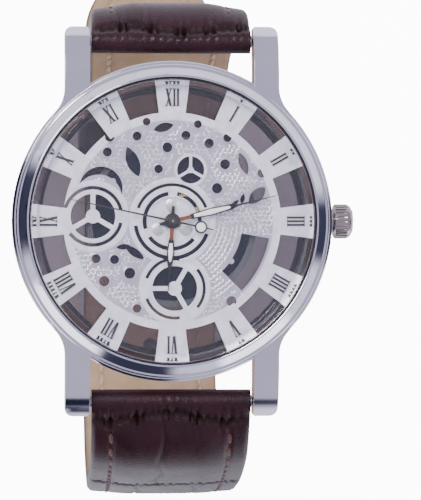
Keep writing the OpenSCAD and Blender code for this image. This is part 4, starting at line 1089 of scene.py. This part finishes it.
def addPin(place, radius, depth, across=False):
    clearSelection()
    bpy.ops.mesh.primitive_cylinder_add(vertices=40, radius=radius * mm, depth=depth * mm)
    pin = bpy.context.object
    if across:
        pin.data.transform(Matrix.Rotation(math.pi / 2, 4, "Y"))
    pin.data.transform(place)
    return pin


def holePins(route):
    s = strapSet
    last = route["length"] - s["holeFromTip"]
    return [addPin(routeFrame(route, last - i * s["holePitch"], 0, 0), s["holeWidth"] / 2, s["holeDepth"])
            for i in range(s["holes"])]


def trim(sheet):
    # clears the slivers that cutting leaves
    editAll(sheet, lambda: weld(4e-6), lambda: dropSlivers(4e-6))


def shadeHide(sheet, furrowShades, edges):
    for label, values in (("furrow", furrowShades), ("cutEdge", edges)):
        sheet.data.attributes.new(label, "FLOAT", "POINT").data.foreach_set("value", values)


def layLeather(name, route, rows):
    s = strapSet
    length = route["length"]
    buckled = route["side"] > 0
    low = -s["barRound"] * math.pi / 2
    high = length + (s["buckleRound"] * math.pi / 2 if buckled else 0)
    tip = 0 if buckled else s["tip"]
    sheet = layFlat(name + "_leather_piece", round(s["barWidth"] / s["cell"]),
                    round((high - low) / s["cell"]))
    turns = [(0, s["barRound"], -1)] + ([(length, s["buckleRound"], 1)] if buckled else [])
    furrowShades, edges = [], []
    for vertex in sheet.data.vertices:
        u, v, top = vertex.co.x, (vertex.co.y + 1) / 2, vertex.co.z > 0.5
        along = spread(v, low, high, tip)
        station = min(length, max(0.0, along))
        across = u * halfWidth(route, station)
        furrowShade = lift = 0.0
        if top:
            out, lift, furrowShade = leatherTop(route, rows, along, across)
        else:
            # inside the turned ends the underside steps up to make room for the lining
            inset = min(station, length - station) if buckled else station
            step = ease((inset - s["turnIn"] + s["stepLength"]) / s["stepLength"])
            out = -thickness(route, station) / 2 + step * (s["lining"] + s["glue"])
            across *= mix(1.0, s["underWidth"], 1 + (min(along, length - along) if buckled else along))
        # round a bar the face follows the turned end
        for end, radius, way in turns:
            past = way * (along - end)
            if past > 0:
                angle = past / radius
                along = end + way * (radius + lift) * math.sin(angle)
                out = ((radius if top else -radius) + lift) * math.cos(angle)
                lift = 0.0
            elif past > -radius:
                bend = math.sqrt(radius * radius - past * past)
                out = max(out, bend - 0.05 * abs(u) ** 8) if top else min(out, -bend)
        vertex.co = onRoute(route, along, across, out + lift)
        furrowShades.append(furrowShade)
        edges.append(0.0 if top and abs(u) < 0.999 else 1.0)
    shadeHide(sheet, furrowShades, edges)
    editAll(sheet, lambda: weld(2e-6), facesOut)
    if buckled:
        clearSelection()
        bpy.ops.mesh.primitive_cube_add(size=1)
        slot = bpy.context.object
        slot.data.transform(Matrix.Diagonal([size * mm for size in s["slotSize"]]).to_4x4())
        slot.data.transform(routeFrame(route, length - s["slotBack"], 0, 0))
        cutAway(sheet, [slot])
    for end, radius, way in turns:
        cutAway(sheet, [addPin(routeFrame(route, end, 0, 0), s["bore"], 1.5 * s["barWidth"], across=True)])
    if not buckled:
        cutAway(sheet, holePins(route))
    trim(sheet)
    smooth(sheet, s["smooth"])
    return sheet


def layLining(name, route):
    s = strapSet
    buckled = route["side"] > 0
    low = s["turnIn"]
    high = route["length"] - (s["turnIn"] if buckled else s["stepLength"])
    tip = 0 if buckled else s["tip"]
    sheet = layFlat(name + "_lining_piece", s["liningColumns"], round((high - low) / s["liningCell"]))
    furrowShades, edges = [], []
    for vertex in sheet.data.vertices:
        u, v, top = vertex.co.x, (vertex.co.y + 1) / 2, vertex.co.z > 0.5
        along = spread(v, low, high, tip)
        half = halfWidth(route, along) - s["liningInset"] * tipShare(route, along)
        roll = max(0.0, abs(u) - (1 - s["liningRoll"])) / s["liningRoll"]
        seam = half - s["seamInset"] * tipShare(route, along)
        pressed = math.exp(-((abs(u) * half - seam) / s["liningSeam"]) ** 2) * ease(along - s["seamFrom"])
        out = -thickness(route, along) / 2
        if top:
            out += s["lining"] - s["glue"]
        else:
            out += s["liningDrop"] * quarterRound(roll) + s["liningPress"] * pressed
            out += 0.02 * math.sin(along * 0.8) * math.sin(u * 5)
        vertex.co = onRoute(route, along, u * half, out)
        edges.append(1.0 if abs(u) > 0.999 else 0.0)
        # the lining's pressed seam channel is painted darker: painted shade
        furrowShades.append(0.0 if top else 0.5 * pressed)
    shadeHide(sheet, furrowShades, edges)
    editAll(sheet, facesOut)
    if not buckled:
        cutAway(sheet, holePins(route))
        trim(sheet)
    smooth(sheet, s["smooth"])
    return sheet


stitchSet = {
    "pitch": 2.1, "length": 1.75, "width": 0.58, "height": 0.4, "dip": 0.9, "proud": 0.02, "slant": 5,
    "start": 4.4, "buckleEnd": 6.2, "tipTurns": 5, "tipInset": 2.4, "tipLead": 0.7, "tipSlant": 0.95,
}


def makeStitch(s):
    clearSelection()
    bpy.ops.mesh.primitive_uv_sphere_add(segments=8, ring_count=6, radius=0.5)
    stitch = bpy.context.object
    stitch.data.transform(Matrix.Rotation(math.pi / 2, 4, "X"))
    for vertex in stitch.data.vertices:
        vertex.co.z -= s["dip"] * abs(vertex.co.y) ** 3
    stitch.data.transform(Matrix.Diagonal((s["width"] * mm, s["length"] * mm, s["height"] * mm, 1)))
    return stitch


def seamStations(route, s):
    # the stitches along one edge, and how far round the tip each has turned
    length = route["length"]
    end = length - (s["buckleEnd"] if route["side"] > 0 else strapSet["tip"])
    count = int((end - s["start"]) / s["pitch"])
    found = [(s["start"] + i * s["pitch"], 0.0) for i in range(count + 1)]
    if route["side"] < 0:
        for i in range(s["tipTurns"]):
            turn = (i + s["tipLead"]) / s["tipTurns"] * math.pi / 2
            found.append((end + (strapSet["tip"] - s["tipInset"]) * math.sin(turn), turn))
    return found


def sewStrap(name, route, rows, outer):
    s = stitchSet
    places = []
    for along, turn in seamStations(route, s):
        for side in (-1, 1):
            seam = halfWidth(route, min(along, route["length"] - strapSet["tip"])) - strapSet["seamInset"]
            across = side * seam * math.cos(turn)
            slant = -side * turn * s["tipSlant"] if turn else math.radians(s["slant"])
            face = leatherTop(route, rows, along, across)[0] if outer else -thickness(route, along) / 2
            place = routeFrame(route, along, across, face + s["proud"], slant)
            places.append(place if outer else place @ Matrix.Rotation(math.pi, 4, "Y"))
    piece = stampCopies(makeStitch(s), places, name + "_stitches")
    editAll(piece, facesOut)
    smooth(piece, 60)
    return piece


def middle(node):
    low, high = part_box(node)
    return (low + high) / 2


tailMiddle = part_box("strap_6_leather")[0].z + strapSet["tailThick"] / 2 * mm
for name in ("strap_12", "strap_6"):
    bar = middle("spring_bar_12" if name == "strap_12" else "spring_bar_6")
    foot = middle("buckle_bar").z if name == "strap_12" else tailMiddle
    route = makeRoute(routeSet[name], (bar.y, bar.z), (bar.z - foot) / mm)
    rows = makeScales(name, route["length"])
    hide, lining = "strap_leather", "lining_leather"
    layers = (
        ("_leather_piece", hide, hide, layLeather(name, route, rows), name + "_leather"),
        ("_lining_piece", lining, lining, layLining(name, route), name + "_lining"),
        ("_outer_stitches", hide, "brownThread", sewStrap(name, route, rows, True)),
        ("_inner_stitches", lining, "paleThread", sewStrap(name, route, rows, False)),
    )
    for kind, slot, material, piece, *covered in layers:
        settle(piece, name + kind, name, slot, finish[material], *covered)
    print(name, "is laid and sewn")
